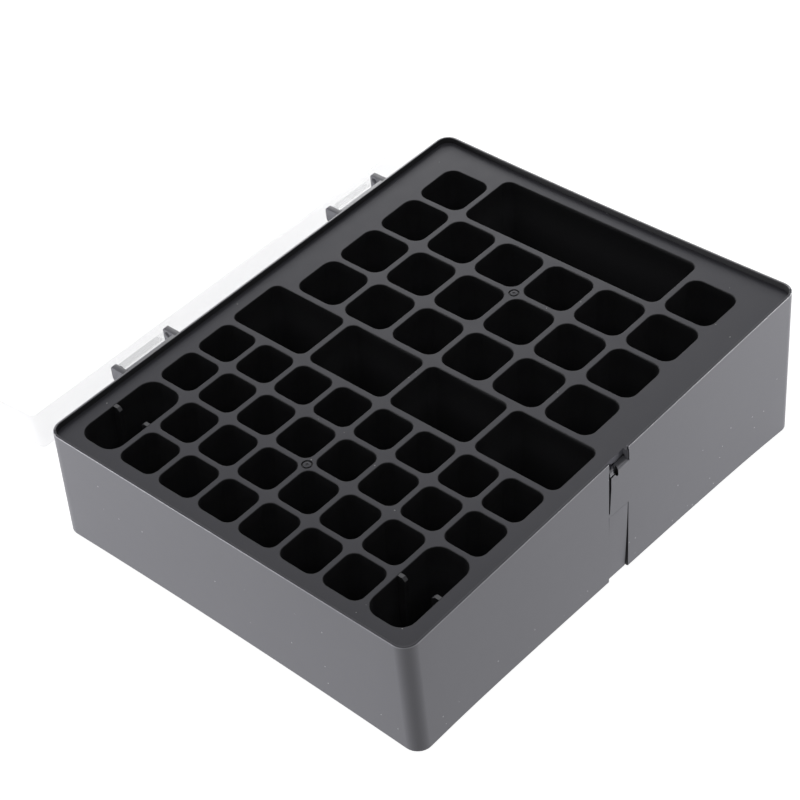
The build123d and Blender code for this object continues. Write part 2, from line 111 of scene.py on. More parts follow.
class Board:
    """The node tree of one material, with a short way to add and link nodes."""

    def __init__(self, tree: bpy.types.NodeTree) -> None:
        """Clear the tree."""
        self.tree = tree
        tree.nodes.clear()

    def add(
        self,
        kind: str,
        settings: dict[str, object] | None = None,
        inputs: dict[str | int, object] | None = None,
        output: str | int = 0,
    ) -> Signal:
        """Add a node, give its settings first, and then fill its sockets.

        Args:
            kind: the node's type name.
            settings: attributes of the node, set before its sockets.
            inputs: values or signals by socket name or number.
            output: which output the returned signal stands for.

        Returns:
            The chosen output of the new node.
        """
        node = self.tree.nodes.new(kind)
        for name, value in (settings or {}).items():
            setattr(node, name, value)
        for name, value in (inputs or {}).items():
            if isinstance(value, Signal):
                self.tree.links.new(value.socket, node.inputs[name])
            else:
                node.inputs[name].default_value = value
        return Signal(self, node.outputs[output])

    def place(self) -> Signal:
        """The place on the object, in metres of the case's own frame."""
        return self.add("ShaderNodeTexCoord", output="Object")

    def noise(self, size: float, detail: float = 2.0, seed: float = 0.0) -> Signal:
        """Noise from zero to one.

        Args:
            size: about the size of its patches in millimetres.
            detail: how many finer layers it has.
            seed: which of its patterns is taken.

        Returns:
            The noise.
        """
        settings = {"noise_dimensions": "4D"}
        inputs = {"Vector": self.place(), "W": seed, "Scale": 1 / (size * MM), "Detail": detail}
        return self.add("ShaderNodeTexNoise", settings, inputs)

    def blend(self, mask: "Signal | float", first: "Signal | Colour", second: "Signal | Colour") -> Signal:
        """A colour that goes from the first to the second as the mask rises.

        Args:
            mask: zero for the first colour, one for the second.
            first: the first colour.
            second: the second colour.

        Returns:
            The colour between them.
        """
        node = self.tree.nodes.new("ShaderNodeMix")
        node.data_type = "RGBA"
        colours = [socket for socket in node.inputs if socket.type == "RGBA"]
        for socket, value in zip((node.inputs[0], *colours), (mask, first, second)):
            if isinstance(value, Signal):
                self.tree.links.new(value.socket, socket)
            else:
                socket.default_value = value
        return Signal(self, next(socket for socket in node.outputs if socket.type == "RGBA"))

    def shown(self) -> Signal:
        """One for what is seen straight, mirrored or through clear plastic, else zero."""
        camera, through, glossy = (self.add("ShaderNodeLightPath", output=f"Is {ray} Ray") for ray in RAYS)
        return (camera + through + glossy).above(0.5)

    def finish(self, surface: Signal, kind: str = "ShaderNodeOutputMaterial") -> None:
        """Send a shader to the output of the material or the world."""
        self.tree.links.new(surface.socket, self.tree.nodes.new(kind).inputs["Surface"])


def grey(level: float, blue: float = 0.0) -> Colour:
    """A linear grey, with a little more blue where asked."""
    return (level, level, level * (1 + blue), 1.0)


def fresh_material(name: str) -> tuple[bpy.types.Material, Board]:
    """Add an empty material.

    Args:
        name: its name.

    Returns:
        The material and its board.
    """
    material = bpy.data.materials.new(name)
    material.use_nodes = True
    return material, Board(material.node_tree)


# ---------------------------------------------------------------- finishes


@dataclass(frozen=True)
class MouldedPlastic:
    """Charcoal injection-moulded plastic: satin, finely grained, faintly cloudy, with a little dust, and
    where asked with painted shade just below the rim plane and painted light that lifts it again further
    down.
    """

    name: str
    level: float
    blue: float = 0.08
    roughness: float = 0.5
    gloss: float = 0.5
    cloud: float = 0.06
    grain_size: float = 0.35
    grain_depth: float = 0.012
    dust: float = 0.0
    # painted shade: the share of the colour kept between shade_start and shade_end below the rim plane
    depth_shade: float = 1.0
    shade_start: float = 1.77
    shade_end: float = 2.1
    # painted light: the colour that the deepest parts are lifted to again, between floor_start and
    # floor_end
    painted_floor_light: float = 0.0
    floor_start: float = 3.0
    floor_end: float = 14.0
    cloud_size: float = 28.0
    cloud_share: float = 0.7
    streak_size: float = 5.0
    streak_roughness: float = 0.10
    grain_roughness: float = 0.06
    relief: float = 0.35
    dust_level: float = 0.62
    dust_spacing: float = 3.0
    dust_size: float = 0.06
    dust_rarity: float = 0.74

    def make(self, case: "CaseSizes") -> bpy.types.Material:
        """Build the material.

        Args:
            case: the sizes of the case, which tell how far a place lies below the rim plane.

        Returns:
            The finished material.
        """
        material, board = fresh_material(self.name)
        clouds = board.noise(self.cloud_size, detail=3.0, seed=1.3)
        streaks = board.noise(self.streak_size, detail=4.0, seed=4.1)
        grain = board.noise(self.grain_size, detail=3.0, seed=7.7)
        light = grey(self.level * (1 + self.cloud), self.blue)
        dark = grey(self.level * (1 - self.cloud), self.blue)
        share = self.cloud_share
        colour = board.blend(clouds * share + streaks * (1 - share), dark, light)
        # painted shade just below the rim plane
        if self.depth_shade < 1.0:
            painted_deep_shade = grey(self.level * self.depth_shade, self.blue)
            colour = board.blend(self._depth(board, case, self.shade_start, self.shade_end), colour, painted_deep_shade)
            # painted light that lifts the deepest parts again
            low = self._depth(board, case, self.floor_start, self.floor_end)
            colour = board.blend(low, colour, grey(self.painted_floor_light, self.blue))
        if self.dust > 0.0:
            colour = board.blend(self._specks(board) * self.dust, colour, grey(self.dust_level))
        uneven = (streaks - 0.5) * self.streak_roughness
        roughness = self.roughness + uneven + (grain - 0.5) * self.grain_roughness
        bump = {"Strength": self.relief, "Distance": self.grain_depth * MM, "Height": grain}
        surface = {
            "Base Color": colour,
            "Roughness": roughness,
            "Specular IOR Level": self.gloss,
            "Normal": board.add("ShaderNodeBump", inputs=bump),
        }
        board.finish(board.add("ShaderNodeBsdfPrincipled", inputs=surface))
        return material

    def _depth(self, board: Board, case: "CaseSizes", start: float, end: float) -> Signal:
        """A mask that rises between two depths below the rim plane.

        Args:
            board: the board of the material.
            case: the sizes of the case.
            start: depth in millimetres where the mask is zero.
            end: depth where it is one.

        Returns:
            The mask.
        """
        across, height = (
            board.add("ShaderNodeSeparateXYZ", inputs={0: board.place()}, output=axis) for axis in "YZ"
        )
        rim = across * math.tan(case.slope) + case.middle_height * MM
        return (rim - height).ramp(start * MM, end * MM)

    def _specks(self, board: Board) -> Signal:
        """A mask of tiny, sparse specks of dust.

        Args:
            board: the board of the material.

        Returns:
            The mask.
        """
        inputs = {"Vector": board.place(), "Scale": 1 / (self.dust_spacing * MM)}
        near = board.add("ShaderNodeTexVoronoi", {"feature": "F1"}, inputs, "Distance")
        colour = board.add("ShaderNodeTexVoronoi", {"feature": "F1"}, inputs, "Color")
        chance = board.add("ShaderNodeSeparateColor", inputs={0: colour})
        return near.below(self.dust_size) * chance.above(self.dust_rarity)


@dataclass(frozen=True)
class ClearPlastic:
    """Clear polystyrene, seen mostly by its edges and reflections."""

    name: str
    body: float
    rim: float
    level: float = 0.86
    edge_on: float = 0.35
    haze_size: float = 9.0
    haze_share: float = 0.01
    haze_roughness: float = 0.06
    roughness: float = 0.06
    cold: float = 0.09
    warm: float = 0.05
    warm_share: float = 0.97
    scuff_size: float = 0.8
    scuff_depth: float = 0.004
    relief: float = 0.1

    def make(self) -> bpy.types.Material:
        """Build the material: see-through head-on, and more solid where it is seen edge-on.

        Returns:
            The finished material.
        """
        material, board = fresh_material(self.name)
        haze = board.noise(self.haze_size, detail=2.0, seed=2.2)
        scuff = board.noise(self.scuff_size, detail=2.0, seed=5.2)
        facing = board.add("ShaderNodeLayerWeight", inputs={"Blend": self.edge_on}, output="Facing")
        solid = facing * (self.rim - self.body) + self.body + (haze - 0.5) * self.haze_share
        tint = board.blend(haze, grey(self.level, self.cold), grey(self.level * self.warm_share, self.warm))
        bump = {"Strength": self.relief, "Distance": self.scuff_depth * MM, "Height": scuff}
        surface = {
            "Base Color": tint,
            "Roughness": haze * self.haze_roughness + self.roughness,
            "Normal": board.add("ShaderNodeBump", inputs=bump),
        }
        skin = board.add("ShaderNodeBsdfPrincipled", inputs=surface)
        clear = board.add("ShaderNodeBsdfTransparent", inputs={"Color": grey(1.0)})
        board.finish(board.add("ShaderNodeMixShader", inputs={0: solid, 1: clear, 2: skin}))
        return material


@dataclass(frozen=True)
class StudioFloor:
    """A white table top that the camera sees as white, with the soft shadow of the object on it."""

    name: str = "white_table"
    paint: float = 0.45
    glow: float = 0.93
    light: float = 0.6

    def make(self) -> bpy.types.Material:
        """Build the material: white to the camera, and a soft light from below for the object.

        Returns:
            The finished material.
        """
        material, board = fresh_material(self.name)
        paint = board.add("ShaderNodeBsdfDiffuse", inputs={"Color": grey(self.paint)})
        glow, light = (
            board.add("ShaderNodeEmission", inputs={"Color": grey(1.0), "Strength": strength})
            for strength in (self.glow, self.light)
        )
        table = board.add("ShaderNodeAddShader", inputs={0: paint, 1: glow})
        board.finish(board.add("ShaderNodeMixShader", inputs={0: board.shown(), 1: light, 2: table}))
        return material


# ---------------------------------------------------------------- shapes


@dataclass(frozen=True)
class CaseSizes:
    """The driving sizes of the case, in millimetres, and the sloping rim plane that follows."""

    half_width: float = 64.0
    half_length: float = 83.0
    front_height: float = 36.0
    back_height: float = 47.0
    rim_height: float = 1.75
    lip: float = 0.8
    wall: float = 1.6
    corner: float = 4.4
    latch_flare: float = math.tan(math.radians(3.6))
    flare_reach: float = 20.0
    taper: float = math.tan(math.radians(1.1))
    corner_steps: int = 8
    side_steps: int = 16
    front_bow: float = 0.8
    front_zone: float = 14.0
    front_fade: float = 12.0
    back_bow: float = 0.9
    back_zone: float = 9.0
    side_bow: float = 0.9
    side_bow_reach: float = 78.0
    side_zone: float = 12.0
    side_fade: float = 10.0
    arch_margin: float = 3.0

    @property
    def slope(self) -> float:
        """Angle of the rim plane."""
        return math.atan2(self.back_height - self.front_height, 2 * self.half_length)

    @property
    def middle_height(self) -> float:
        """Height of the rim plane over the centre of the base."""
        return (self.front_height + self.back_height) / 2

    def rim(self, y: float) -> float:
        """Height of the rim plane at a place along the case."""
        return self.middle_height + y * math.tan(self.slope)

    def plane_matrix(self) -> Matrix:
        """Turns places in the rim plane into places in the case's frame, in millimetres."""
        return Matrix.Translation((0.0, 0.0, self.middle_height)) @ Matrix.Rotation(self.slope, 4, "X")

    def section(self, inset: float, drop: float) -> list[Point]:
        """A loop round the case parallel to the rim plane.

        Args:
            inset: how far the loop is drawn in.
            drop: how far it lies below the rim plane.

        Returns:
            Its points.
        """
        right = self.half_width - inset + drop * self.latch_flare
        end = self.half_length - inset - drop * self.taper
        sides = (-self.half_width + inset, right, -end, end)
        loop = rounded_rectangle(*sides, self.corner - inset, self.corner_steps, self.side_steps)
        return [(x, y, self.rim(y) - drop) for x, y in loop]

    def level_section(self, inset: float, z: float) -> list[Point]:
        """A loop round the case at one height above the table.

        Args:
            inset: how far the loop is drawn in.
            z: its height.

        Returns:
            Its points.
        """
        half = self.half_width - inset
        front = -self.half_length + inset + (self.front_height - z) * self.taper
        back = self.half_length - inset - (self.back_height - z) * self.taper
        sides = (-half, half, front, back)
        flared = []
        for x, y in rounded_rectangle(*sides, self.corner - inset, self.corner_steps, self.side_steps):
            flare = self.latch_flare * share_of(x, self.flare_reach)
            flared.append((x + (self.rim(y) - z) * flare, y, z))
        return flared

    def arch(self, x: float) -> float:
        """How much of a bow of the front or the back shows at a place across the case."""
        across = x / (self.half_width + self.arch_margin)
        return 1 - across * across

    def settle(self, point: Vector) -> Vector:
        """Bow the long edges inwards a little, as the cooled moulding does.

        Args:
            point: a place on the straight moulding.

        Returns:
            The same place on the cooled one.
        """
        x, y, z = point
        low = max(0.0, 1.0 - z / self.rim(y))
        if y < 0:
            near = share_of(-y - self.half_length + self.front_zone, self.front_fade)
            y += self.front_bow * low * self.arch(x) * near
        else:
            near = share_of(y - self.half_length + self.back_zone, self.back_zone)
            y -= self.back_bow * (1 - low) * self.arch(x) * near
        if x > 0:
            along = min(1.0, abs(y) / self.side_bow_reach)
            near = share_of(x - self.half_width + self.side_zone, self.side_fade)
            x -= self.side_bow * low * (1 - along**4) * near
        return Vector((x, y, z))


def share_of(value: float, width: float) -> float:
    """How far a value has come through a width, from zero to one."""
    return min(1.0, max(0.0, value / width))


def rounded_rectangle(
    x_min: float, x_max: float, y_min: float, y_max: float, radius: float, steps: int = 6, straight: int = 1
) -> list[Flat]:
    """Points round a rectangle with arcs at its corners, anticlockwise from the front right.

    Args:
        x_min: left side.
        x_max: right side.
        y_min: front side.
        y_max: back side.
        radius: radius of the corners.
        steps: pieces in each corner's arc.
        straight: pieces in each straight side.

    Returns:
        The points, with the last one not repeating the first.
    """
    centres = (
        (x_max - radius, y_min + radius, -90.0),
        (x_max - radius, y_max - radius, 0.0),
        (x_min + radius, y_max - radius, 90.0),
        (x_min + radius, y_min + radius, 180.0),
    )
    points: list[Flat] = []
    for x, y, start in centres:
        corner = arc((x, y), radius, start, start + 90.0, steps)
        if points:
            points += between(points[-1], corner[0], straight)
        points += corner
    points += between(points[-1], points[0], straight)
    return points


def between(start: Flat, end: Flat, pieces: int) -> list[Flat]:
    """Split a straight line into equal pieces.

    Args:
        start: where it starts.
        end: where it ends.
        pieces: how many pieces.

    Returns:
        The inner points, without the two ends.
    """
    return [
        (start[0] + (end[0] - start[0]) * i / pieces, start[1] + (end[1] - start[1]) * i / pieces)
        for i in range(1, pieces)
    ]


def arc(centre: Flat, radius: float, start: float, end: float, steps: int) -> list[Flat]:
    """Points along an arc between two angles in degrees."""
    angles = [math.radians(start + (end - start) * step / steps) for step in range(steps + 1)]
    return [(centre[0] + radius * math.cos(a), centre[1] + radius * math.sin(a)) for a in angles]


class Skin:
    """Collects rings of points in millimetres and joins them into one mesh."""

    def __init__(self) -> None:
        """Start with nothing."""
        self.points: list[Vector] = []
        self.faces: list[tuple[int, ...]] = []
        self.tags: list[int] = []

    def ring(self, points: Iterable[Sequence[float]]) -> list[int]:
        """Add points.

        Args:
            points: their places.

        Returns:
            Their numbers.
        """
        start = len(self.points)
        self.points += [Vector(point) for point in points]
        return list(range(start, len(self.points)))

    def bridge(self, first: list[int], second: list[int], tag: int = 0) -> None:
        """Join two closed rings with quads.

        Args:
            first: one ring.
            second: the other ring, with as many points.
            tag: slot of the finish.
        """
        count = len(first)
        for i in range(count):
            j = (i + 1) % count
            self.faces.append((first[i], first[j], second[j], second[i]))
            self.tags.append(tag)

    def cap(self, ring: list[int], tag: int = 0) -> None:
        """Close a ring with one flat face."""
        self.faces.append(tuple(ring))
        self.tags.append(tag)

    def fan(self, ring: list[int]) -> None:
        """Close a ring that isn't flat with triangles about its middle.

        Args:
            ring: the ring.
        """
        middle = sum((self.points[number] for number in ring), Vector()) / len(ring)
        centre = self.ring([middle])[0]
        for i, number in enumerate(ring):
            self.cap([number, ring[(i + 1) % len(ring)], centre])

    def tube(self, rings: list[list[int]], tag: int = 0, closed: bool = False) -> None:
        """Join each ring to the next.

        Args:
            rings: the rings.
            tag: slot of the finish.
            closed: whether the last ring is joined to the first as well.
        """
        for first, second in zip(rings, rings[1:] + ([rings[0]] if closed else [])):
            self.bridge(first, second, tag)

    def solid(self, rings: list[list[int]]) -> None:
        """Join each ring to the next, and close both ends.

        Args:
            rings: the rings.
        """
        self.tube(rings)
        self.cap(rings[0])
        self.cap(rings[-1])

    def fill(self, outline: list[int], holes: list[list[int]], axes: tuple[int, int] = (0, 1)) -> None:
        """Fill the flat area inside an outline and outside its holes with triangles.

        Args:
            outline: the outer ring.
            holes: the rings inside it.
            axes: the two axes of the plane in which the area is seen.
        """
        loops = [outline, *holes]
        numbers = [number for loop in loops for number in loop]
        views = [[tuple(self.points[number][axis] for axis in axes) for number in loop] for loop in loops]
        edges: list[tuple[int, int]] = []
        for loop in loops:
            start, count = len(edges), len(loop)
            edges += [(start + i, start + (i + 1) % count) for i in range(count)]
        flat = [Vector(place) for view in views for place in view]
        found, _, triangles, origins, _, _ = delaunay_2d_cdt(flat, edges, [], 0, FLAT_ERROR)
        boxes = [box_of(view) for view in views]
        for triangle in triangles:
            middle = sum((found[i] for i in triangle), Vector((0.0, 0.0))) / 3
            outer, *inner = (inside(middle, view, box) for view, box in zip(views, boxes))
            if outer and not any(inner):
                self.cap([numbers[origins[i][0]] for i in triangle])

    def move(self, change: Callable[[Vector], Vector]) -> None:
        """Send every point through a function."""
        self.points = [change(point) for point in self.points]

    def place(self, matrix: Matrix) -> None:
        """Send every point through a matrix."""
        self.move(lambda point: matrix @ point)

    def mesh(self, name: str) -> bpy.types.Mesh:
        """Make the mesh in metres, with its faces turned outwards.

        Args:
            name: its name.

        Returns:
            The mesh.
        """
        mesh = bpy.data.meshes.new(name)
        mesh.from_pydata([point * MM for point in self.points], [], self.faces)
        mesh.polygons.foreach_set("material_index", self.tags)
        work = bmesh.new()
        work.from_mesh(mesh)
        bmesh.ops.remove_doubles(work, verts=work.verts, dist=SAME_PLACE * MM)
        bmesh.ops.recalc_face_normals(work, faces=work.faces)
        work.to_mesh(mesh)
        work.free()
        return mesh


def box_of(loop: list[Flat]) -> tuple[float, float, float, float]:
    """The plan box of a loop."""
    xs, ys = zip(*loop)
    return min(xs), max(xs), min(ys), max(ys)


def inside(place: Vector, loop: list[Flat], box: tuple[float, float, float, float]) -> bool:
    """Tell whether a place lies inside a loop.

    Args:
        place: the place.
        loop: the loop.
        box: the loop's box.

    Returns:
        True when it does.
    """
    x, y = place
    if not (box[0] <= x <= box[1] and box[2] <= y <= box[3]):
        return False
    hit = False
    for (x0, y0), (x1, y1) in zip(loop, loop[1:] + loop[:1]):
        if (y0 > y) != (y1 > y) and x < (x1 - x0) * (y - y0) / (y1 - y0) + x0:
            hit = not hit
    return hit


def add_piece(
    mesh: bpy.types.Mesh, materials: Sequence[bpy.types.Material], smooth_angle: float = SHARP_ANGLE
) -> bpy.types.Object:
    """Put a mesh into the scene.

    Args:
        mesh: the mesh.
        materials: its finishes, in the order of its slots.
        smooth_angle: edges over this many degrees stay sharp.

    Returns:
        The piece.
    """
    piece = bpy.data.objects.new(mesh.name, mesh)
    bpy.context.scene.collection.objects.link(piece)
    for material in materials:
        mesh.materials.append(material)
    shade(mesh, smooth_angle)
    return piece


def shade(mesh: bpy.types.Mesh, smooth_angle: float) -> None:
    """Shade a mesh smooth, with edges over an angle kept sharp."""
    mesh.polygons.foreach_set("use_smooth", [True] * len(mesh.polygons))
    mesh.set_sharp_from_angle(angle=math.radians(smooth_angle))


def block_mesh(
    name: str, low: Point, high: Point, edge: float = 0.0, place: Matrix | None = None
) -> bpy.types.Mesh:
    """Make a block.

    Args:
        name: name of the mesh.
        low: its lowest corner.
        high: its highest corner.
        edge: radius of its rounded edges.
        place: matrix in millimetres that sets it down.

    Returns:
        The mesh.
    """
    work = bmesh.new()
    bmesh.ops.create_cube(work, size=1.0)
    size = [high[i] - low[i] for i in range(3)]
    middle = [(high[i] + low[i]) / 2 for i in range(3)]
    grow = Matrix.Translation(middle) @ Matrix.Diagonal((*size, 1.0))
    bmesh.ops.transform(work, matrix=grow, verts=work.verts)
    if edge > 0.0:
        rounding = {"offset": edge, "segments": 3, "profile": 0.5, "affect": "EDGES", "clamp_overlap": True}
        bmesh.ops.bevel(work, geom=work.edges[:], **rounding)
    if place is not None:
        bmesh.ops.transform(work, matrix=place, verts=work.verts)
    bmesh.ops.scale(work, vec=(MM, MM, MM), verts=work.verts)
    mesh = bpy.data.meshes.new(name)
    work.to_mesh(mesh)
    work.free()
    return mesh


def prism(name: str, outline: Sequence[Flat], front: float, back: float, place: Matrix) -> bpy.types.Mesh:
    """A block with an outline seen from the front, between two places along the case.

    Args:
        name: name of the mesh.
        outline: places across and up.
        front: where it starts.
        back: where it ends.
        place: matrix in millimetres that sets it down.

    Returns:
        The mesh.
    """
    skin = Skin()
    skin.solid([skin.ring([(x, y, z) for x, z in outline]) for y in (front, back)])
    skin.place(place)
    return skin.mesh(name)


def join_meshes(name: str, meshes: Sequence[bpy.types.Mesh]) -> bpy.types.Mesh:
    """Make one mesh of several.

    Args:
        name: its name.
        meshes: the meshes, which go unless a piece uses them.

    Returns:
        The joined mesh.
    """
    work = bmesh.new()
    for mesh in meshes:
        work.from_mesh(mesh)
        if not mesh.users:
            bpy.data.meshes.remove(mesh)
    joined = bpy.data.meshes.new(name)
    work.to_mesh(joined)
    work.free()
    return joined


def cut(piece: bpy.types.Object, cutters: Sequence[bpy.types.Mesh]) -> None:
    """Cut meshes out of a piece for good, and throw the cutters away.

    Args:
        piece: the piece.
        cutters: the meshes, cut one after another.
    """
    for mesh in cutters:
        tool = bpy.data.objects.new(mesh.name, mesh)
        bpy.context.scene.collection.objects.link(tool)
        change = piece.modifiers.new("cut", "BOOLEAN")
        change.operation = "DIFFERENCE"
        change.solver = "EXACT"
        change.object = tool
        bpy.context.view_layer.update()
        graph = bpy.context.evaluated_depsgraph_get()
        result = bpy.data.meshes.new_from_object(piece.evaluated_get(graph), depsgraph=graph)
        if not result.polygons:
            raise RuntimeError(f"cutting {mesh.name} out of {piece.name} left nothing")
        result.name = piece.data.name + "_cut"
        piece.modifiers.remove(change)
        piece.data = result
        bpy.data.objects.remove(tool)
        bpy.data.meshes.remove(mesh)


def soften(piece: bpy.types.Object) -> None:
    """Let the large flat faces lead the shading.

    Args:
        piece: the piece.
    """
    weights = piece.modifiers.new("flat_faces_lead", "WEIGHTED_NORMAL")
    weights.mode = "FACE_AREA"
    weights.keep_sharp = True


# ---------------------------------------------------------------- the case


class Slot(IntEnum):
    """The finishes of the outer wall and the tray, by their slots.

    The second slot holds the darker inner finish, painted shade: the inside of the rim on the wall, and the
    wells on the tray. The third puts the tray's darker plastic on the near rim tops, which is painted shade
    too. The fourth holds a lighter finish: a painted highlight on the near rim edge, and painted light on
    the far rim tops and in the notch.
    """

    BODY = 0
    # painted shade
    PAINTED_SHADE = 1
    TRAY = 2
    # painted highlight and painted light
    EDGE = 3


class Cell(Enum):
    """The kinds of well in the tray: width, depth and corner radius in millimetres."""

    AAA = (12.8, 12.8, 2.9)
    AA = (16.0, 16.0, 3.6)
    NINE_VOLT = (27.6, 18.7, 2.6)
    LONG = (69.7, 21.5, 3.0)
    SLOT = (13.4, 27.4, 4.4)


@dataclass(frozen=True)
class Well:
    """One well, by its kind and the plan place of its front left corner."""

    cell: Cell
    x: float
    y: float

    def loop(self, inset: float, steps: int = 6) -> list[Flat]:
        """Draw the outline of the well.

        Args:
            inset: how far it is drawn in.
            steps: pieces in each corner's arc.

        Returns:
            Its points.
        """
        width, depth, corner = self.cell.value
        low = (self.x + inset, self.y + inset)
        high = (self.x + width - inset, self.y + depth - inset)
        return rounded_rectangle(low[0], high[0], low[1], high[1], max(0.4, corner - inset), steps)


@dataclass
class CellTray:
    """The sloping face of the case, with its wells, as one moulding."""

    case: CaseSizes
    floor: float = 1.2
    side_gap: float = 0.05
    mouth: float = 0.2
    draft: float = 0.35
    floor_round: float = 1.0
    margin_end: float = 5.7
    aaa_web: float = 1.8
    aa_web: float = 1.9
    group_web: float = 2.0
    outer_wall: float = 1.9
    flange: float = 2.0
    skirt_half: float = 60.0
    gate_places: tuple[Flat, ...] = ((0.0, 36.85), (0.0, -49.05))
    gate_radius: float = 1.6
    gate_rings: tuple[Flat, ...] = ((0.0, 0.0), (0.12, 0.28), (0.42, 0.28), (0.52, 0.04))
    gate_stub: tuple[Flat, ...] = ((0.45, 0.0), (0.38, 0.12))
    foot_corner: float = 1.0
    foot_lift: float = 0.3
    skin_depth: float = 0.1

    def row(self, cell: Cell, count: int, web: float, y: float) -> list[Well]:
        """Set a row of wells, centred across the case.

        Args:
            cell: their kind.
            count: how many there are.
            web: the wall between two of them.
            y: where they start along the case.

        Returns:
            The wells, from left to right.
        """
        width = cell.value[0]
        left = -(count * width + (count - 1) * web) / 2
        return [Well(cell, left + column * (width + web), y) for column in range(count)]

    def wells(self) -> list[Well]:
        """Set every well.

        Returns:
            The wells, from the front of the case to its back.
        """
        wells: list[Well] = []
        y = -self.case.half_length + self.margin_end
        short_half = self.row(Cell.AAA, 6, self.aaa_web, y)[-1].x + Cell.AAA.value[0]
        slot_start = short_half + self.aaa_web
        wells += [Well(Cell.SLOT, slot_start, y), Well(Cell.SLOT, -slot_start - Cell.SLOT.value[0], y)]
        for count in (6, 6, 8, 8):
            wells += self.row(Cell.AAA, count, self.aaa_web, y)
            y += Cell.AAA.value[1] + self.aaa_web
        y += self.group_web - self.aaa_web
        wells += self.row(Cell.NINE_VOLT, 4, self.aa_web, y)
        y += Cell.NINE_VOLT.value[1] + self.group_web
        for _ in range(3):
            wells += self.row(Cell.AA, 6, self.aa_web, y)
            y += Cell.AA.value[1] + self.aa_web
        y += self.group_web - self.aa_web
        back = self.row(Cell.AA, 6, self.aa_web, y)
        return wells + [back[0], back[-1]] + self.row(Cell.LONG, 1, self.aa_web, y)

    def at_drop(self, loop: list[Flat], drop: float) -> list[Point]:
        """A plan loop set a drop below the rim plane."""
        return [(x, y, self.case.rim(y) - drop) for x, y in loop]

    def build(self, finishes: "Finishes", skirt: "Skirt") -> bpy.types.Object:
        """Make the tray and let it stand for the plain walls of the wells.

        Args:
            finishes: the finishes of the object.
            skirt: the outer wall, whose notch is also cut out of the tray.

        Returns:
            The tray.
        """
        case = self.case
        skin = Skin()
        top = case.rim_height
        mouths: list[list[int]] = []
        turned = self.floor_round
        for well in self.wells():
            mouth = arc((0.0, top + self.mouth), self.mouth, -90.0, 0.0, 4)
            rings = [skin.ring(self.at_drop(well.loop(x - self.mouth), drop)) for x, drop in mouth]
            mouths.append(rings[0])
            foot = arc((self.draft + turned, self.floor + turned), turned, 180.0, 270.0, 3)
            # the well walls and floors take the well finish: painted shade
            skin.tube(rings, tag=Slot.PAINTED_SHADE)
            floor_rings = [skin.ring([(*place, z) for place in well.loop(inset)]) for inset, z in foot]
            skin.tube([rings[-1], *floor_rings], tag=Slot.PAINTED_SHADE)
            skin.cap(floor_rings[-1], tag=Slot.PAINTED_SHADE)
        for place in self.gate_places:
            mouths.append(self.gate_mark(skin, place))
        outer = self.edge_loops(skin)
        skin.fill(outer[0], mouths)
        skin.tube(outer)
        skin.cap(outer[-1])
        skin.move(case.settle)
        slots = (finishes.tray, finishes.wells, finishes.tray, finishes.edge)
        piece = add_piece(skin.mesh("cell_tray"), slots, SOFT_ANGLE)
        cut(piece, skirt.notch_cutters())
        self.dress_notch(piece.data, skirt)
        shade(piece.data, SOFT_ANGLE)
        soften(piece)
        nodes = [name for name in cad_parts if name.startswith(("rail_", "walls_"))]
        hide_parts("tray_deck", "tray_flange", "well_floor", *nodes)
        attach(piece, "case")
        return piece

    def dress_notch(self, mesh: bpy.types.Mesh, skirt: "Skirt") -> None:
        """Give the faces that the notch leaves on the tray their finishes: the tray's plastic on the inner
        face and painted light on the rear side face.

        Args:
            mesh: the cut tray.
            skirt: the outer wall with the notch.
        """
        place = self.case.plane_matrix().inverted()
        turn = place.to_3x3()
        near = self.skin_depth
        for face in mesh.polygons:
            x, y, _ = place @ (face.center / MM)
            facing = turn @ face.normal
            if x < skirt.notch_inner - near or not skirt.notch_front - near < y < skirt.notch_back + near:
                continue
            if facing.x > FACE_ON:
                face.material_index = Slot.TRAY
            # painted light on the rear side face
            elif facing.y < -FACE_ON:
                face.material_index = Slot.EDGE

    def gate_mark(self, skin: Skin, place: Flat) -> list[int]:
        """Add the small round mark where the plastic was fed in: a sunk ring round a low stub.

        Args:
            skin: the skin of the tray.
            place: the plan place of the mark.

        Returns:
            The mark's outer ring.
        """
        circles = [(self.gate_radius - inset, drop) for inset, drop in self.gate_rings]
        rings = []
        for radius, drop in (*circles, *self.gate_stub):
            loop = arc(place, radius, 0.0, 360.0, 24)[:-1]
            rings.append(skin.ring(self.at_drop(loop, self.case.rim_height + drop)))
        sunk = len(circles)
        # the sunk ring and the stub's top take the well finish: painted shade
        skin.tube(rings[:sunk], tag=Slot.PAINTED_SHADE)
        skin.tube(rings[sunk - 1 :])
        skin.cap(rings[-1], tag=Slot.PAINTED_SHADE)
        return rings[0]

    def edge_loops(self, skin: Skin) -> list[list[int]]:
        """Add the tray's outer loops: down beside the lip, in under the flange and down to the floor.

        Args:
            skin: the skin of the tray.

        Returns:
            The loops, from the top down.
        """
        case = self.case
        steps = (case.corner_steps, case.side_steps)
        levels = (case.rim_height, case.rim_height + self.flange)
        loops = [skin.ring(case.section(case.lip + self.side_gap, drop)) for drop in levels]
        half, lift = self.skirt_half, self.foot_lift
        end = case.half_length - self.margin_end + self.outer_wall
        low = rounded_rectangle(-half, half, -end, end, self.foot_corner, *steps)
        loops.append(skin.ring(self.at_drop(low, levels[-1])))
        loops.append(skin.ring([(x, y, lift) for x, y in low]))
        sides = (-half + lift, half - lift, -end + lift, end - lift)
        base = rounded_rectangle(*sides, self.foot_corner - lift, *steps)
        loops.append(skin.ring([(x, y, 0.0) for x, y in base]))
        return loops


@dataclass(frozen=True)
class EndGap:
    """A block cut into the rear side of the notch, measured from the wall's face and the rim plane."""

    inner: float
    outer: float
    length: float
    low: float
    high: float


